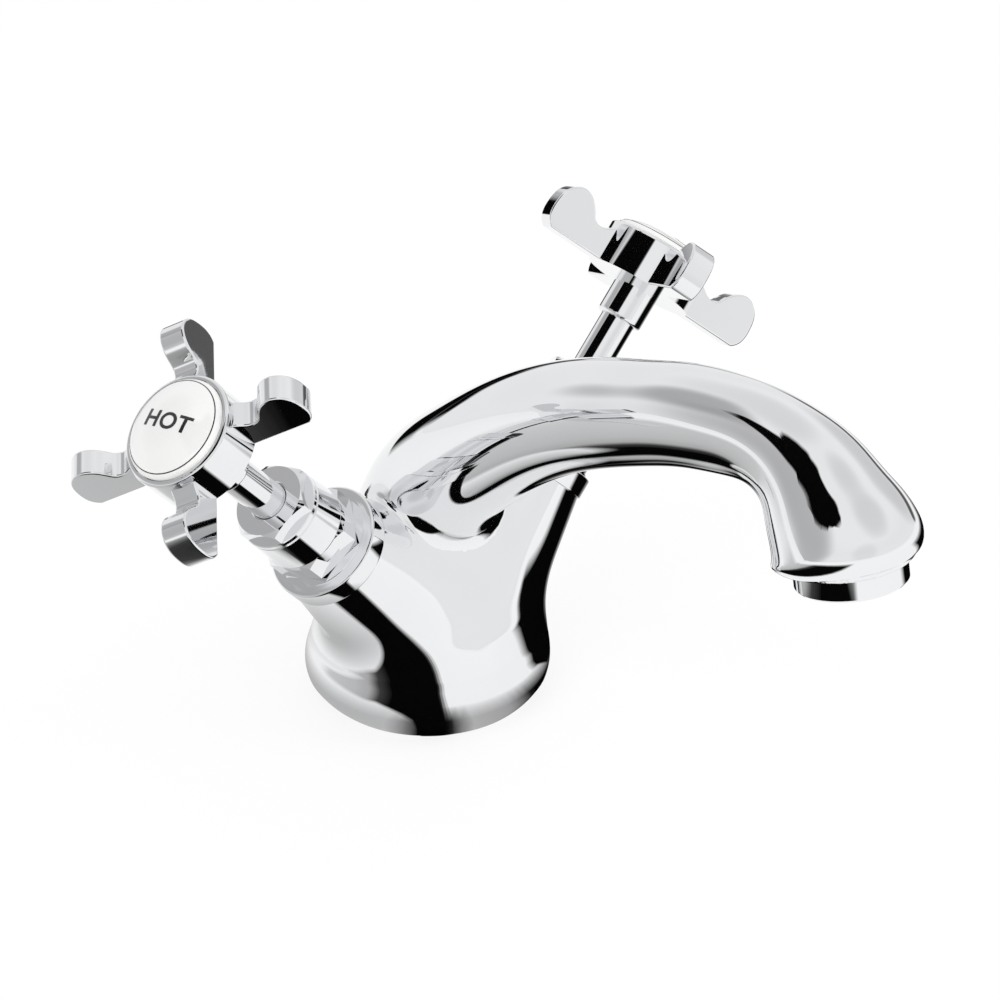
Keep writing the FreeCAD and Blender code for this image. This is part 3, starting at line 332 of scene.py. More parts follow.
def skin_mesh(distance, low, high, step):
    """Surface of a distance field on a grid of cells. Each cell that the surface crosses gets one point, the
    mean of the crossings on its edges, and each crossed edge gets the quad of its four cells. The points then
    slide along the field's slope on to the surface."""
    axes = [np.arange(a, b + step, step) for a, b in zip(low, high)]
    field = distance(axes[0][:, None, None], axes[1][None, :, None], axes[2][None, None, :])
    inside = field < 0
    total = np.zeros(field.shape + (3,), np.float32)
    count = np.zeros(field.shape, np.int16)
    quads = []
    ids = np.arange(field.size).reshape(field.shape)
    for axis in range(3):
        here = [slice(None)] * 3
        there = [slice(None)] * 3
        here[axis], there[axis] = slice(0, -1), slice(1, None)
        crossed = np.argwhere(inside[tuple(here)] != inside[tuple(there)])
        crossed = crossed[(crossed > 0).all(1)]
        i, j, k = crossed.T
        hop = np.eye(3, dtype=int)[axis]
        a = field[i, j, k]
        b = field[i + hop[0], j + hop[1], k + hop[2]]
        place = crossed.astype(float)
        place[:, axis] += a / (a - b)
        u, v = np.eye(3, dtype=int)[(axis + 1) % 3], np.eye(3, dtype=int)[(axis + 2) % 3]
        corners = []
        for back in (0 * u, u, u + v, v):
            cell = crossed - back
            np.add.at(total, tuple(cell.T), place)
            np.add.at(count, tuple(cell.T), 1)
            corners.append(ids[tuple(cell.T)])
        quad = np.stack(corners, -1)
        flip = a < b
        quad[flip] = quad[flip][:, ::-1]
        quads.append(quad)
    quads = np.concatenate(quads)
    used, quads = np.unique(quads, return_inverse=True)
    quads = quads.reshape(-1, 4)
    points = total.reshape(-1, 3)[used] / count.reshape(-1)[used][:, None] * step + np.array(low)
    points = points.astype(float)
    for _ in range(SLIDE_ROUNDS):
        value = distance(*points.T)
        points -= np.clip(value, -step, step)[:, None] * distance.normals(points) * SLIDE_SHARE
    return points, quads[:, ::-1]


def mesh_of(name, points, faces):
    """A mesh from arrays of points, in metres, and of faces."""
    mesh = bpy.data.meshes.new(name)
    mesh.from_pydata(np.asarray(points).tolist(), [], [tuple(int(v) for v in f) for f in faces])
    return mesh


def linked(name, data):
    """An object with its data, in the scene."""
    made = bpy.data.objects.new(name, data)
    bpy.context.scene.collection.objects.link(made)
    return made


def new_piece(name, points, faces, body, replaced=(), smooth=True):
    """A piece from arrays of points and faces. It rides on a body."""
    mesh = mesh_of(name, points, faces)
    mesh.validate()
    mesh.polygons.foreach_set("use_smooth", np.full(len(mesh.polygons), smooth))
    piece = linked(name, mesh)
    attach(piece, body)
    if replaced:
        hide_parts(*replaced)
    return piece


def valve_frame(s, side, station=0.0, turn=0.0):
    """Place of a valve's cross-section: z along the valve's axis, x turned about it."""
    lean = Matrix.Rotation(side * s.valve_tilt, 4, "Y")
    start = Matrix.Translation((0, -s.valve_forward, s.valve_height))
    return start @ lean @ Matrix.Translation((0, 0, station)) @ Matrix.Rotation(turn, 4, "Z")


def placed(points, matrix):
    """Points of an array moved by a matrix."""
    m = np.array(matrix)
    return np.asarray(points, float) @ m[:3, :3].T + m[:3, 3]


def turned(profile, around=128):
    """A profile of radius and height carried round the z axis: a grid with one row for each profile point,
    and the first and last points closed to single points where their radius is nought."""
    profile = np.asarray(profile, float)
    turn = np.linspace(0, 2 * math.pi, around, endpoint=False)
    points, faces, rows = [], [], []
    for radius, height in profile:
        first = len(points)
        if radius < 1e-9:
            points.append((0, 0, height))
            rows.append(np.full(around, first))
            continue
        points.extend(np.c_[radius * np.cos(turn), radius * np.sin(turn), np.full(around, height)])
        rows.append(first + np.arange(around))
    for a, b in zip(rows[:-1], rows[1:]):
        for i in range(around):
            j = (i + 1) % around
            face = [a[i], a[j], b[j], b[i]]
            face = [v for n, v in enumerate(face) if v not in face[:n]]
            if len(face) > 2:
                faces.append(face)
    return np.array(points), faces


def turned_ring(profile, around=128):
    """A closed profile carried round the z axis: its last row is joined to its first."""
    points, faces = turned([*profile, profile[0]], around)
    ring = len(points) - around
    return points[:ring], [[v - ring if v >= ring else v for v in f] for f in faces]


def rounded_profile(corners, rounding, steps=5):
    """A profile of radius and height whose inner corners are eased by curves of about the given radii, each a
    blend of the corner and two points beside it by squared shares."""
    corners = [np.array(c, float) for c in corners]
    out = [corners[0]]
    for i in range(1, len(corners) - 1):
        a, b, c = corners[i - 1], corners[i], corners[i + 1]
        r = rounding[i]
        u, v = (a - b) / np.linalg.norm(a - b), (c - b) / np.linalg.norm(c - b)
        half = math.acos(max(-1, min(1, float(u @ v)))) / 2
        if r <= 0 or half > math.pi / 2 - 0.02:
            out.append(b)
            continue
        cut = min(r / math.tan(half), 0.49 * np.linalg.norm(a - b), 0.49 * np.linalg.norm(c - b))
        for w in np.linspace(0, 1, steps):
            out.append((1 - w) ** 2 * (b + u * cut) + 2 * w * (1 - w) * b + w * w * (b + v * cut))
    out.append(corners[-1])
    return np.array(out)


# Finishes


def group(name, inputs, outputs):
    """A shader node group with inputs (name, socket type, default) and outputs (name, socket type)."""
    tree = bpy.data.node_groups.new(name, "ShaderNodeTree")
    for label, kind, default in inputs:
        socket = tree.interface.new_socket(label, in_out="INPUT", socket_type=kind)
        if default is not None:
            socket.default_value = default
    for label, kind in outputs:
        tree.interface.new_socket(label, in_out="OUTPUT", socket_type=kind)
    return tree, tree.nodes.new("NodeGroupInput"), tree.nodes.new("NodeGroupOutput")


def node(tree, kind, values=(), **settings):
    """A shader node with its settings, and with values on its input sockets."""
    made = tree.nodes.new("ShaderNode" + kind)
    for name, value in settings.items():
        setattr(made, name, value)
    for socket, value in dict(values).items():
        made.inputs[socket].default_value = value
    return made


def joined(tree, *pairs):
    """Links from outputs to inputs."""
    for out, into in pairs:
        tree.links.new(out, into)


def smudge_group():
    """Polish variation: a mask of broad wipes, and fine specks."""
    tree, start, end = group("Polish variation",
                             [("Vector", "NodeSocketVector", None), ("Scale", "NodeSocketFloat", 1.0)],
                             [("Mask", "NodeSocketFloat"), ("Fine", "NodeSocketFloat")])
    broad = node(tree, "TexNoise", {"Scale": 38, "Detail": 3})
    fine = node(tree, "TexNoise", {"Scale": 420, "Detail": 2})
    scale = node(tree, "VectorMath", operation="SCALE")
    ramp = node(tree, "MapRange", {"From Min": 0.45, "From Max": 0.75})
    joined(tree, (start.outputs["Vector"], scale.inputs[0]), (start.outputs["Scale"], scale.inputs["Scale"]),
           (scale.outputs[0], broad.inputs["Vector"]), (scale.outputs[0], fine.inputs["Vector"]),
           (broad.outputs["Fac"], ramp.inputs["Value"]), (ramp.outputs["Result"], end.inputs["Mask"]),
           (fine.outputs["Fac"], end.inputs["Fine"]))


def new_material(name):
    """A material, with its tree and its main shader."""
    material = bpy.data.materials.new(name)
    material.use_nodes = True
    return material, material.node_tree, material.node_tree.nodes["Principled BSDF"]


def varied(name, base, shade, roughness, spread, bump, scale=1.0, metallic=0.0, **constants):
    """A finish whose colour and roughness vary with the polish group, with a fine bump in millimetres."""
    _, tree, shader = new_material(name)
    where = node(tree, "TexCoord")
    polish = node(tree, "Group", {"Scale": scale}, node_tree=bpy.data.node_groups["Polish variation"])
    mix = node(tree, "Mix", {"A": (*base, 1), "B": (*[c * shade for c in base], 1)}, data_type="RGBA")
    rough = node(tree, "MapRange", {"To Min": roughness, "To Max": roughness + spread})
    joined(tree, (where.outputs["Object"], polish.inputs["Vector"]),
           (polish.outputs["Mask"], mix.inputs["Factor"]),
           (mix.outputs["Result"], shader.inputs["Base Color"]),
           (polish.outputs["Mask"], rough.inputs["Value"]),
           (rough.outputs["Result"], shader.inputs["Roughness"]))
    if bump > 0:
        bumps = node(tree, "Bump", {"Strength": 1.0, "Distance": bump * MM})
        joined(tree, (polish.outputs["Fine"], bumps.inputs["Height"]),
               (bumps.outputs["Normal"], shader.inputs["Normal"]))
    shader.inputs["Metallic"].default_value = metallic
    for socket, value in constants.items():
        shader.inputs[socket.replace("_", " ")].default_value = value


FINISH_NAMES = {
    "chrome": "Polished chrome", "chrome_stem": "Chromed stem", "porcelain": "Glazed porcelain",
    "screw_steel": "Turned steel", "brass": "Turned brass", "rubber": "Black rubber", "fibre": "Red fibre",
    "packing": "White packing", "acetal": "Moulded acetal", "print_ink": "Fired print",
}


def finishes(c):
    """All the tap's finishes: name, colour, shade of the wipes, roughness and its spread, and bump."""
    smudge_group()
    varied("Polished chrome", c.chrome, 0.97, 0.025, 0.02, 0.0, metallic=1.0)
    varied("Chromed stem", c.chrome, 0.96, 0.03, 0.03, 0.0, metallic=1.0)
    varied("Glazed porcelain", c.porcelain, 0.985, 0.1, 0.05, 0.002, scale=0.6, Coat_Weight=1.0,
           Coat_Roughness=0.03, IOR=1.52)
    varied("Turned steel", c.steel, 0.85, 0.25, 0.15, 0.01, metallic=1.0)
    varied("Turned brass", c.brass, 0.85, 0.2, 0.15, 0.01, metallic=1.0)
    varied("Black rubber", c.rubber, 1.5, 0.6, 0.2, 0.03)
    varied("Red fibre", c.fibre, 0.7, 0.7, 0.2, 0.04, scale=2.0)
    varied("White packing", c.packing, 0.9, 0.6, 0.2, 0.04)
    varied("Moulded acetal", c.acetal, 0.93, 0.3, 0.15, 0.01)
    varied("Fired print", c.print_ink, 1.4, 0.25, 0.1, 0.002, Coat_Weight=0.6, Coat_Roughness=0.08)


def painted(piece, slot_name):
    """A piece with one finish, by its slot's name."""
    piece.data.materials.clear()
    piece.data.materials.append(bpy.data.materials[FINISH_NAMES[slot_name]])
    return piece


class TAP_OT_finishes(bpy.types.Operator):
    """Makes the finishes and puts them on the CAD parts."""

    bl_idname = "tap.finishes"
    bl_label = "Finishes"

    def execute(self, context):
        finishes(context.scene.tap_colours)
        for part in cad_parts.values():
            slots = [m.name.split(".")[0] for m in part.data.materials]
            for i, name in enumerate(slots):
                if name not in FINISH_NAMES:
                    raise RuntimeError("no finish for %s on %s" % (name, part.name))
                part.data.materials[i] = bpy.data.materials[FINISH_NAMES[name]]
            if part.name.endswith("bonnet_washer"):
                part.data.materials[0] = bpy.data.materials[FINISH_NAMES["chrome"]]
        return {"FINISHED"}


def cut_by(piece, cutters):
    """Cuts closed cutters out of a piece, and applies the cuts."""
    for points, faces in cutters:
        cutter = linked("cutter", mesh_of("cutter", points, faces))
        cut = piece.modifiers.new("cut", "BOOLEAN")
        cut.operation = "DIFFERENCE"
        cut.solver = "MANIFOLD"
        cut.object = cutter
        bpy.context.view_layer.update()
        shape = bpy.data.meshes.new_from_object(piece.evaluated_get(bpy.context.evaluated_depsgraph_get()))
        piece.modifiers.clear()
        piece.data = shape
        bpy.data.objects.remove(cutter)


def drum(radius, low, high, matrix=None, inner=0.0, around=96):
    """A closed round cutter, or a ring where it has an inner radius."""
    if inner:
        points, faces = turned_ring([(inner, low), (radius, low), (radius, high), (inner, high)], around)
    else:
        points, faces = turned([(0, low), (radius, low), (radius, high), (0, high)], around)
    if matrix is not None:
        points = placed(points, matrix)
    return points, faces


def read(items, name, width=1, kind=float):
    """One property of all the items, as an array."""
    values = np.empty(len(items) * width, kind)
    items.foreach_get(name, values)
    return values.reshape(-1, width) if width > 1 else values


class TAP_OT_casting(bpy.types.Operator):
    """Makes the cast body: bulb, spout, bell and branches in one smooth skin, with its bores and collars."""

    bl_idname = "tap.casting"
    bl_label = "Casting"

    def execute(self, context):
        s = context.scene.tap_sizes
        casting = Casting(s)
        step = s.skin_step / MM * 1
        points, faces = skin_mesh(casting, *CASTING_BOX, step)
        body = new_piece("tap_casting", points * MM, faces, "tap", ("tap_body",))
        painted(body, "chrome")
        cut_by(body, self.cutters(s))
        self.shade(body.data, casting)
        for name, side in SIDES:
            self.collar(s, name, side)
        return {"FINISHED"}

    def cutters(self, s):
        """The block under the deck and the round bores, in the order of cutting."""
        square = ((-0.1, -0.1), (0.1, -0.1), (0.1, 0.1), (-0.1, 0.1))
        block = [(x, y, z) for z in (-0.02, 0) for x, y in square]
        sides = [(3, 2, 1, 0), (4, 5, 6, 7), (0, 1, 5, 4), (1, 2, 6, 5), (2, 3, 7, 6), (3, 0, 4, 7)]
        cutters = [(np.array(block), sides), drum(*SEAL_GROOVE, inner=SEAL_GROOVE_CORE),
                   drum(*STUD_HOLE, Matrix.Translation(STUD_PLACE))]
        for _, side in SIDES:
            inlet = Matrix.Translation((side * INLET_APART, -s.valve_forward, 0))
            cutters.append(drum(*INLET_HOLE, inlet))
            cutters.extend(drum(*bore, valve_frame(s, side)) for bore in VALVE_BORES)
        outlet = Matrix.Translation(OUTLET_PLACE) @ Matrix.Rotation(math.radians(OUTLET_LEAN), 4, "X")
        cutters.append(drum(*OUTLET_BORE, outlet))
        return cutters

    def shade(self, mesh, casting):
        """Shading along the distance's slope where a vertex lies on the skin, and flat faces at the cuts."""
        mesh.polygons.foreach_set("use_smooth", np.ones(len(mesh.polygons), bool))
        co = read(mesh.vertices, "co", 3) / MM
        skin = casting.normals(co)
        near = np.abs(casting(*co.T)) < SKIN_NEAR
        loops = read(mesh.loops, "vertex_index", kind=int)
        owner = np.repeat(np.arange(len(mesh.polygons)), read(mesh.polygons, "loop_total", kind=int))
        chosen = read(mesh.polygons, "normal", 3)[owner]
        fits = near[loops] & ((skin[loops] * chosen).sum(-1) > 0.8)
        chosen[fits] = skin[loops][fits]
        mesh.normals_split_custom_set(chosen.tolist())

    def collar(self, s, name, side):
        """A drum with eased rims, bored for its valve."""
        rise, out = s.collar_top - s.collar_foot, s.collar_radius
        corners = ((0, 0), (COLLAR_FLAT, 0), (out, 0), (out, rise), (COLLAR_FLAT, rise), (0, rise))
        points, faces = turned(rounded_profile(corners, (0, 0, COLLAR_EDGE, COLLAR_EDGE, 0, 0), 7))
        points = placed(points, valve_frame(s, side, s.collar_foot))
        collar = painted(new_piece(name + "_collar", points, faces, "tap"), "chrome")
        cut_by(collar, [drum(*COLLAR_BORE, valve_frame(s, side))])
        collar.data.polygons.foreach_set("use_smooth", np.ones(len(collar.data.polygons), bool))
        collar.data.set_sharp_from_angle(angle=math.radians(40))


class TAP_OT_dials(bpy.types.Operator):
    """Makes the domed porcelain dials with their printed word and ring."""

    bl_idname = "tap.dials"
    bl_label = "Dials"

    def execute(self, context):
        s = context.scene.tap_sizes
        for name, side in SIDES:
            place = valve_frame(s, side, s.dial_station)
            bend = np.linspace(0, math.pi / 2, 40)
            dome = np.c_[s.dial_radius * np.cos(bend), s.dial_rise * np.sin(bend)]
            dome[-1, 0] = 0
            profile = np.r_[[(0, -s.dial_depth), (s.dial_radius, -s.dial_depth)], dome]
            points, faces = turned(profile)
            dial = new_piece(name + "_dial", placed(points, place), faces, name + "_handle_set",
                             (name + "_index",))
            painted(dial, "porcelain")
            dial.data.set_sharp_from_angle(angle=math.radians(50))
            self.print_word(s, name, place)
            self.print_ring(s, name, place)
        return {"FINISHED"}

    def on_dome(self, s, points, lift):
        """Height of the dome's ellipse over each point, with a small lift."""
        share = np.clip(np.hypot(points[:, 0], points[:, 1]) / s.dial_radius, 0, 0.995)
        out = points.copy()
        out[:, 2] = s.dial_rise * np.sqrt(1 - share**2) + lift
        return out

    def print_word(self, s, name, place):
        """A word from a text curve, turned into a mesh, cut fine, laid on the dome and given a thin skin."""
        curve = bpy.data.curves.new(name + "_word", "FONT")
        curve.body = DIAL_WORDS[name]
        curve.align_x = "CENTER"
        curve.align_y = "CENTER"
        curve.offset = WORD_WEIGHT
        curve.space_character = WORD_SPACING
        text = linked(name + "_word", curve)
        bpy.context.view_layer.update()
        mesh = bpy.data.meshes.new_from_object(text.evaluated_get(bpy.context.evaluated_depsgraph_get()))
        bpy.data.objects.remove(text)
        shape = bmesh.new()
        shape.from_mesh(mesh)
        bmesh.ops.triangulate(shape, faces=shape.faces)
        for _ in range(3):
            long_edges = [e for e in shape.edges if e.calc_length() > LETTER_CELL]
            bmesh.ops.subdivide_edges(shape, edges=long_edges, cuts=1)
            bmesh.ops.triangulate(shape, faces=shape.faces)
        co = np.array([v.co for v in shape.verts])
        low, high = co.min(0), co.max(0)
        wide = s.letter_width * WORD_STRETCH[name]
        co = (co - (low + high) / 2) / np.maximum(high - low, 1e-9) * np.array((wide, s.letter_height, 0))
        turn = np.array(Matrix.Rotation(DIAL_TURNS[name], 3, "Z"))
        co = co @ turn.T + np.array((WORD_SHIFT, 0, 0))
        top = self.on_dome(s, co, WORD_LIFT)
        bottom = self.on_dome(s, co, PRINT_ROOT)
        faces = [[v.index for v in f.verts] for f in shape.faces]
        shape.normal_update()
        shape.faces.ensure_lookup_table()
        up = shape.faces[0].normal.z > 0
        edges = [[v.index for v in e.verts] for e in shape.edges if e.is_boundary]
        directed = {(a, b) for f in faces for a, b in zip(f, f[1:] + f[:1])}
        n = len(co)
        walls = []
        for a, b in edges:
            if (a, b) not in directed:
                a, b = b, a
            walls.append([b, a, a + n, b + n])
        below = [[v + n for v in reversed(f)] for f in faces]
        everything = faces + below + walls
        if not up:
            everything = [f[::-1] for f in everything]
        word = new_piece(name + "_word", placed(np.r_[top, bottom], place), everything, name + "_handle_set",
                         smooth=False)
        painted(word, "print_ink")
        shape.free()

    def print_ring(self, s, name, place):
        """A thin printed ring: a small rectangle on the dome's slope, carried round."""
        inner, outer = s.ring_radius - RING_HALF_WIDTH, s.ring_radius + RING_HALF_WIDTH
        radii = np.array((inner, outer, outer, inner))
        lifts = np.array((PRINT_ROOT, PRINT_ROOT, RING_LIFT, RING_LIFT))
        heights = s.dial_rise * np.sqrt(1 - (radii / s.dial_radius) ** 2)
        points, faces = turned_ring(np.c_[radii, heights + lifts])
        ring = new_piece(name + "_ring", placed(points, place), faces, name + "_handle_set")
        painted(ring, "print_ink")


# Dark studio flags as ribbons of directions seen from the tap: name, distance, share of the width that is
# fully dark, how dark it is, and the ribbon's azimuths from the front, elevations and half widths in degrees
FLAGS = (
    ("flag_over", 0.9, 0.75, 1, ((-54, 47, 2), (-62, 51, 9), (-72, 54, 17), (-88, 55, 22), (-104, 54, 22),
                                 (-114, 49, 13), (-124, 46, 9), (-134, 43, 5), (-142, 38, 1))),
    ("flag_back", 1.1, 0.5, 0.87, ((80, 1, 2), (86, 2, 5), (100, 3, 6), (118, 5, 7), (128, 3, 3))),
    ("flag_edge", 1.2, 0.4, 1, ((146, 0, 1), (156, 1, 3), (170, 1, 3), (180, 0, 1))),
)
# Dark patches on the floor: name, how far they reach, and azimuths with how dark the patch is and how near it
# comes
FLOOR_FLAGS = (
    ("floor_flag_front", 0.7, ((-138, 0, 0.055), (-124, 0.35, 0.052), (-96, 0.45, 0.048), (-84, 0.55, 0.046),
                               (-76, 0.95, 0.047), (-66, 1, 0.042), (-56, 1, 0.036), (-48, 1, 0.03),
                               (-43, 1, 0.0192), (-31, 1, 0.0192), (-26, 0, 0.0192))),
    ("floor_flag_side", 0.5, ((44, 0, 0.05), (52, 1, 0.046), (60, 1, 0.0315), (84, 1, 0.029),
                              (98, 0.6, 0.029), (112, 0, 0.03))),
    # The rim patch is a painted shadow: a dark ring on the floor hugging the foot, seen only in reflections,
    # standing in for the shade round the base.
    ("floor_rim_painted_shadow", 0.052, ((-180, 0.5, 0.0205), (-62, 0.45, 0.0205), (-46, 1, 0.0205), (-28, 1, 0.0205),
                               (-16, 0.5, 0.0205), (8, 0.6, 0.0205), (28, 1, 0.0205), (90, 1, 0.0205),
                               (125, 0.6, 0.0205), (180, 0.5, 0.0205))),
    ("floor_flag_far", 3.5, ((118, 0, 0.5), (132, 0.6, 0.5), (146, 1, 0.5), (174, 1, 0.5), (184, 0, 0.5))),
)
# Points along a flag, the place it is seen from, and the share of a step over which its ends fade
FLAG_POINTS, FLAG_CENTRE, FLAG_FADE = 60, (0, -0.05, 0.055), 0.7
# The floor's patches: height between them, and where full dark starts and ends, in shares of near and far
PATCH_RISE, PATCH_FROM, PATCH_TO = 0.0002, 1.12, 0.6
# The tent's wall: brightness from straight down to straight up
TENT_LEVELS = ((0.0, 0.8), (0.45, 0.86), (0.52, 0.93), (0.65, 0.88), (0.8, 0.96), (1.0, 0.9))
# Soft greys in the tent's wall: azimuth, elevation, half angle and depth
GREYS = ((-108, 20, 42, 0.45), (-152, 33, 22, 0.5), (95, 22, 30, 0.25), (20, 55, 30, 0.2), (-20, 12, 25, 0.1),
         (165, 60, 35, 0.15))
# The floor's half width, and how white it shows itself to the camera and in reflections
FLOOR_HALF, FLOOR_GLOW, FLOOR_GLOW_SHARE = 6.0, 1.03, 0.8
# Soft boxes: name, place, size and power
SOFTBOXES = (("softbox_left", (-1.1, -0.5, 1.1), 0.9, 7), ("softbox_right", (0.9, -1.0, 0.9), 0.8, 5))
SOFTBOX_AIM = (0, -0.05, 0.05)
# The camera: azimuth, elevation and roll, distance, the point looked at with its shift across and up the
# picture, the sensor's width and the focal length in widths
VIEW_ANGLES, VIEW_DISTANCE = (-41.7, 27.9, -0.1), 0.7236
VIEW_TARGET, VIEW_SHIFT = (0, 0, 0.06207), (0.01634, -0.01397)
SENSOR, FOCAL_WIDTHS = 36, 3.3707


def direction(azimuth, elevation):
    """Unit direction for an azimuth from the front towards x, and an elevation, in degrees."""
    a, e = math.radians(azimuth), math.radians(elevation)
    return np.array((math.sin(a) * math.cos(e), -math.cos(a) * math.cos(e), math.sin(e)))


class TAP_OT_studio(bpy.types.Operator):
    """Sets up the pale floor, the soft light, the dark flags and the camera."""

    bl_idname = "tap.studio"
    bl_label = "Studio"

    def execute(self, context):
        self.floor(context.scene.tap_colours)
        self.world(context.scene)
        self.lamps()
        self.flags()
        self.camera(context.scene)
        context.scene.view_settings.view_transform = "Standard"
        return {"FINISHED"}

    def floor(self, colours):
        """A pale square that also shows itself white to the camera, in metal and through glass."""
        corners = [(x * FLOOR_HALF, y * FLOOR_HALF, 0) for x, y in ((-1, -1), (1, -1), (1, 1), (-1, 1))]
        mesh = mesh_of("floor", corners, [(0, 1, 2, 3)])
        floor = linked("floor", mesh)
        material, tree, shader = new_material("Pale floor")
        shader.inputs["Base Color"].default_value = (*colours.floor, 1)
        shader.inputs["Roughness"].default_value = 0.7
        shader.inputs["Specular IOR Level"].default_value = 0.2
        path = node(tree, "LightPath")
        either = node(tree, "Math", operation="MAXIMUM")
        seen = node(tree, "Math", operation="MAXIMUM")
        share = node(tree, "Math", {1: FLOOR_GLOW_SHARE}, operation="MULTIPLY")
        glow = node(tree, "Emission", {"Color": (1, 1, 1, 1), "Strength": FLOOR_GLOW})
        mix = node(tree, "MixShader")
        joined(tree, (path.outputs["Is Glossy Ray"], either.inputs[0]),
               (path.outputs["Is Transmission Ray"], either.inputs[1]),
               (path.outputs["Is Camera Ray"], seen.inputs[0]), (either.outputs[0], seen.inputs[1]),
               (seen.outputs[0], share.inputs[0]), (share.outputs[0], mix.inputs[0]),
               (shader.outputs[0], mix.inputs[1]), (glow.outputs[0], mix.inputs[2]),
               (mix.outputs[0], tree.nodes["Material Output"].inputs["Surface"]))
        mesh.materials.append(material)

    def world(self, scene):
        """White for the camera, and for the rest a soft tent with its levels by height and its greys."""
        world = bpy.data.worlds.new("Soft tent")
        scene.world = world
        world.use_nodes = True
        tree = world.node_tree
        path = node(tree, "LightPath")
        where = node(tree, "TexCoord")
        split = node(tree, "SeparateXYZ")
        height = node(tree, "MapRange", {"From Min": -1})
        ramp = node(tree, "ValToRGB")
        ramp.color_ramp.interpolation = "B_SPLINE"
        while len(ramp.color_ramp.elements) < len(TENT_LEVELS):
            ramp.color_ramp.elements.new(0.5)
        for element, (place, level) in zip(ramp.color_ramp.elements, TENT_LEVELS):
            element.position = place
            element.color = (level, level, level * 1.01, 1)
        joined(tree, (where.outputs["Generated"], split.inputs[0]),
               (split.outputs["Z"], height.inputs["Value"]), (height.outputs["Result"], ramp.inputs["Fac"]))
        tent = ramp.outputs["Color"]
        for azimuth, elevation, half, depth in GREYS:
            near = node(tree, "VectorMath", {1: direction(azimuth, elevation)}, operation="DOT_PRODUCT")
            fall = node(tree, "MapRange", {"From Min": math.cos(math.radians(half)), "From Max": 1.0,
                                           "To Max": depth}, interpolation_type="SMOOTHERSTEP")
            shade = node(tree, "Mix", {"B": (0, 0, 0, 1)}, data_type="RGBA")
            joined(tree, (where.outputs["Generated"], near.inputs[0]),
                   (near.outputs["Value"], fall.inputs["Value"]),
                   (fall.outputs["Result"], shade.inputs["Factor"]), (tent, shade.inputs["A"]))
            tent = shade.outputs["Result"]
        mix = node(tree, "Mix", {"B": (1, 1, 1, 1)}, data_type="RGBA")
        back = tree.nodes["Background"]
        back.inputs["Strength"].default_value = 1.0
        joined(tree, (path.outputs["Is Camera Ray"], mix.inputs["Factor"]), (tent, mix.inputs["A"]),
               (mix.outputs["Result"], back.inputs["Color"]))

    def lamps(self):
        """Two large soft boxes, left and right of the camera, that don't show in the chrome."""
        for name, place, size, power in SOFTBOXES:
            light = bpy.data.lights.new(name, "AREA")
            light.energy = power
            light.size = size
            lamp = linked(name, light)
            lamp.location = place
            aim = Vector(SOFTBOX_AIM) - Vector(place)
            lamp.rotation_euler = aim.to_track_quat("-Z", "Y").to_euler()
            lamp.visible_glossy = False

    def flags(self):
        """Ribbons round the tap and patches on the floor. A ribbon's middle runs through its directions at
        its distance, and its edges stand off across its run; a patch is a grid of rings between near and
        far."""
        material, tree, shader = new_material("Black flag")
        shader.inputs["Base Color"].default_value = (0.002, 0.002, 0.002, 1)
        shader.inputs["Roughness"].default_value = 1.0
        shader.inputs["Specular IOR Level"].default_value = 0.0
        clear = node(tree, "BsdfTransparent")
        dark = node(tree, "Attribute", attribute_name="darkness")
        mix = node(tree, "MixShader")
        joined(tree, (dark.outputs["Fac"], mix.inputs[0]), (clear.outputs[0], mix.inputs[1]),
               (shader.outputs[0], mix.inputs[2]),
               (mix.outputs[0], tree.nodes["Material Output"].inputs["Surface"]))
        for name, far, core, depth, path in FLAGS:
            steps = np.linspace(0, len(path) - 1, FLAG_POINTS)
            az, el, half = (np.interp(steps, range(len(path)), [p[i] for p in path]) for i in range(3))
            middle = np.array([direction(a, e) for a, e in zip(az, el)])
            across = np.cross(middle, np.gradient(middle, axis=0))
            across /= np.linalg.norm(across, axis=1, keepdims=True)
            width = np.tan(np.radians(half))[:, None]
            points = np.concatenate([np.array(FLAG_CENTRE) + far * (middle + share * width * across)
                                     for share in (-1, -core, 0, core, 1)])
            ends = np.clip(np.minimum(steps, len(path) - 1 - steps) / FLAG_FADE, 0, 1)
            darkness = np.outer((0, depth, depth, depth, 0), ends).ravel()
            self.flag(name, points, (5, FLAG_POINTS), darkness, material)
        for level, (name, far, fan) in enumerate(FLOOR_FLAGS, 2):
            az = np.linspace(fan[0][0], fan[-1][0], FLAG_POINTS)
            dark, near = (np.interp(az, [f[0] for f in fan], [f[i] for f in fan]) for i in (1, 2))
            ring = np.c_[np.sin(np.radians(az)), -np.cos(np.radians(az))]
            full = np.ones(FLAG_POINTS)
            rows = [np.c_[ring * r[:, None], full * level * PATCH_RISE]
                    for r in (near, near * PATCH_FROM, full * far * PATCH_TO, full * far)]
            darkness = np.outer((0, 1, 1, 0), dark).ravel()
            self.flag(name, np.concatenate(rows), (4, FLAG_POINTS), darkness, material)

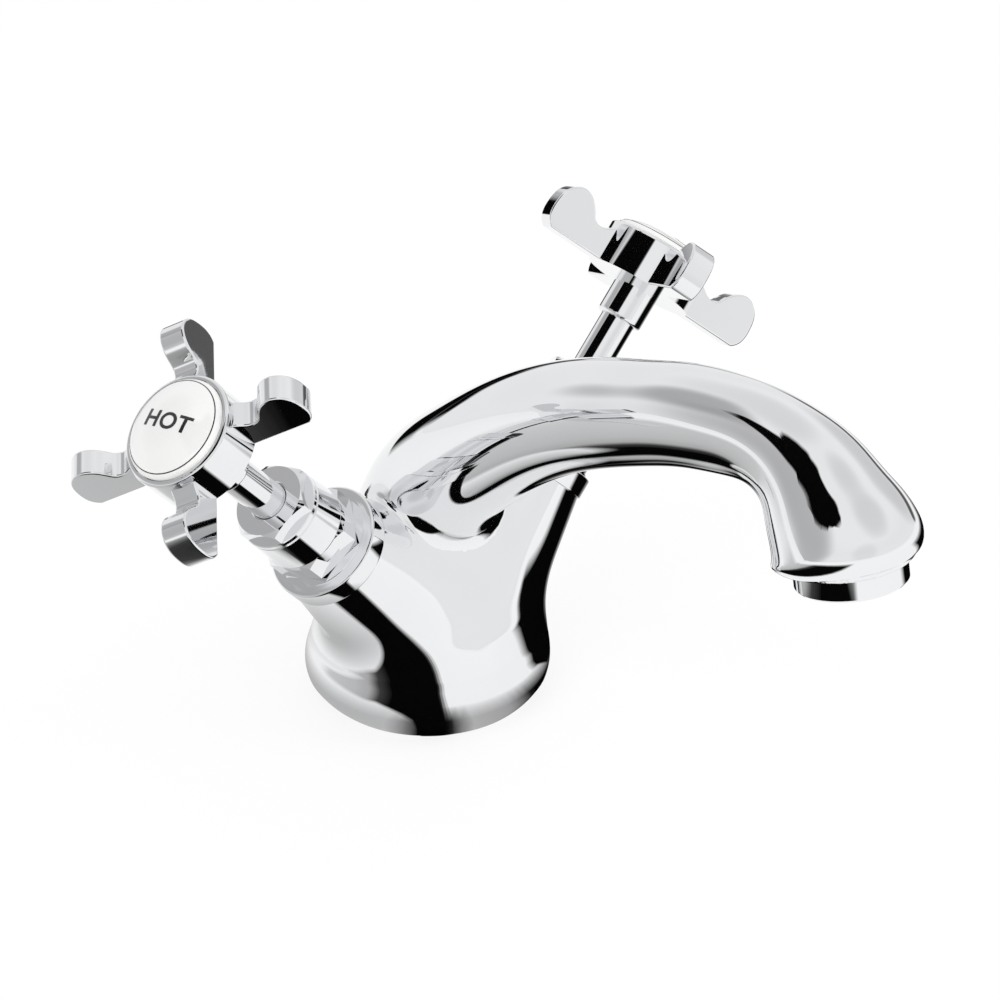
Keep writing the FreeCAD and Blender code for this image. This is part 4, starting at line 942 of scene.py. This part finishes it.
    def flag(self, name, points, grid, darkness, material):
        """A flag from a grid of points, with how dark it is at each."""
        ids = np.arange(grid[0] * grid[1]).reshape(grid)
        faces = np.stack([ids[:-1, :-1], ids[:-1, 1:], ids[1:, 1:], ids[1:, :-1]], -1).reshape(-1, 4)
        mesh = mesh_of(name, points, faces)
        values = mesh.attributes.new("darkness", "FLOAT", "POINT").data
        values.foreach_set("value", darkness.astype(np.float32))
        mesh.materials.append(material)
        flag = linked(name, mesh)
        flag.visible_camera = False
        flag.visible_diffuse = False
        flag.visible_shadow = False

    def camera(self, scene):
        """The photograph's view: a frame of right, up and back, turned by the roll, at a distance from its
        aim."""
        azimuth, elevation, roll = VIEW_ANGLES
        az, roll = math.radians(azimuth), math.radians(roll)
        back = direction(azimuth, elevation)
        right = np.array((math.cos(az), math.sin(az), 0))
        up = np.cross(back, right)
        right, up = math.cos(roll) * right + math.sin(roll) * up, math.cos(roll) * up - math.sin(roll) * right
        target = np.array(VIEW_TARGET) + VIEW_SHIFT[0] * right + VIEW_SHIFT[1] * up
        data = bpy.data.cameras.new("camera")
        data.sensor_width = SENSOR
        data.lens = FOCAL_WIDTHS * SENSOR
        data.clip_start = 0.01
        camera = linked("camera", data)
        place = Matrix.Identity(4)
        for column, axis in enumerate((right, up, back, target + VIEW_DISTANCE * back)):
            place.col[column][:3] = Vector(axis)
        camera.matrix_world = place
        scene.camera = camera


OPERATORS = (TAP_OT_finishes, TAP_OT_casting, TAP_OT_dials, TAP_OT_studio)


class TAP_PT_panel(bpy.types.Panel):
    """Shows a button for each of the tap's operators."""

    bl_idname = "TAP_PT_panel"
    bl_label = "Basin mixer tap"
    bl_space_type = "VIEW_3D"
    bl_region_type = "UI"
    bl_category = "Tap"

    def draw(self, context):
        for operator in OPERATORS:
            self.layout.operator(operator.bl_idname)


CLASSES = (TapSizes, TapColours, *OPERATORS, TAP_PT_panel)


def register():
    for item in CLASSES:
        bpy.utils.register_class(item)
    bpy.types.Scene.tap_sizes = bpy.props.PointerProperty(type=TapSizes)
    bpy.types.Scene.tap_colours = bpy.props.PointerProperty(type=TapColours)


def unregister():
    del bpy.types.Scene.tap_colours
    del bpy.types.Scene.tap_sizes
    for item in reversed(CLASSES):
        bpy.utils.unregister_class(item)


def main():
    register()
    bpy.ops.tap.finishes()
    bpy.ops.tap.casting()
    bpy.ops.tap.dials()
    bpy.ops.tap.studio()


if __name__ == "__main__":
    main()
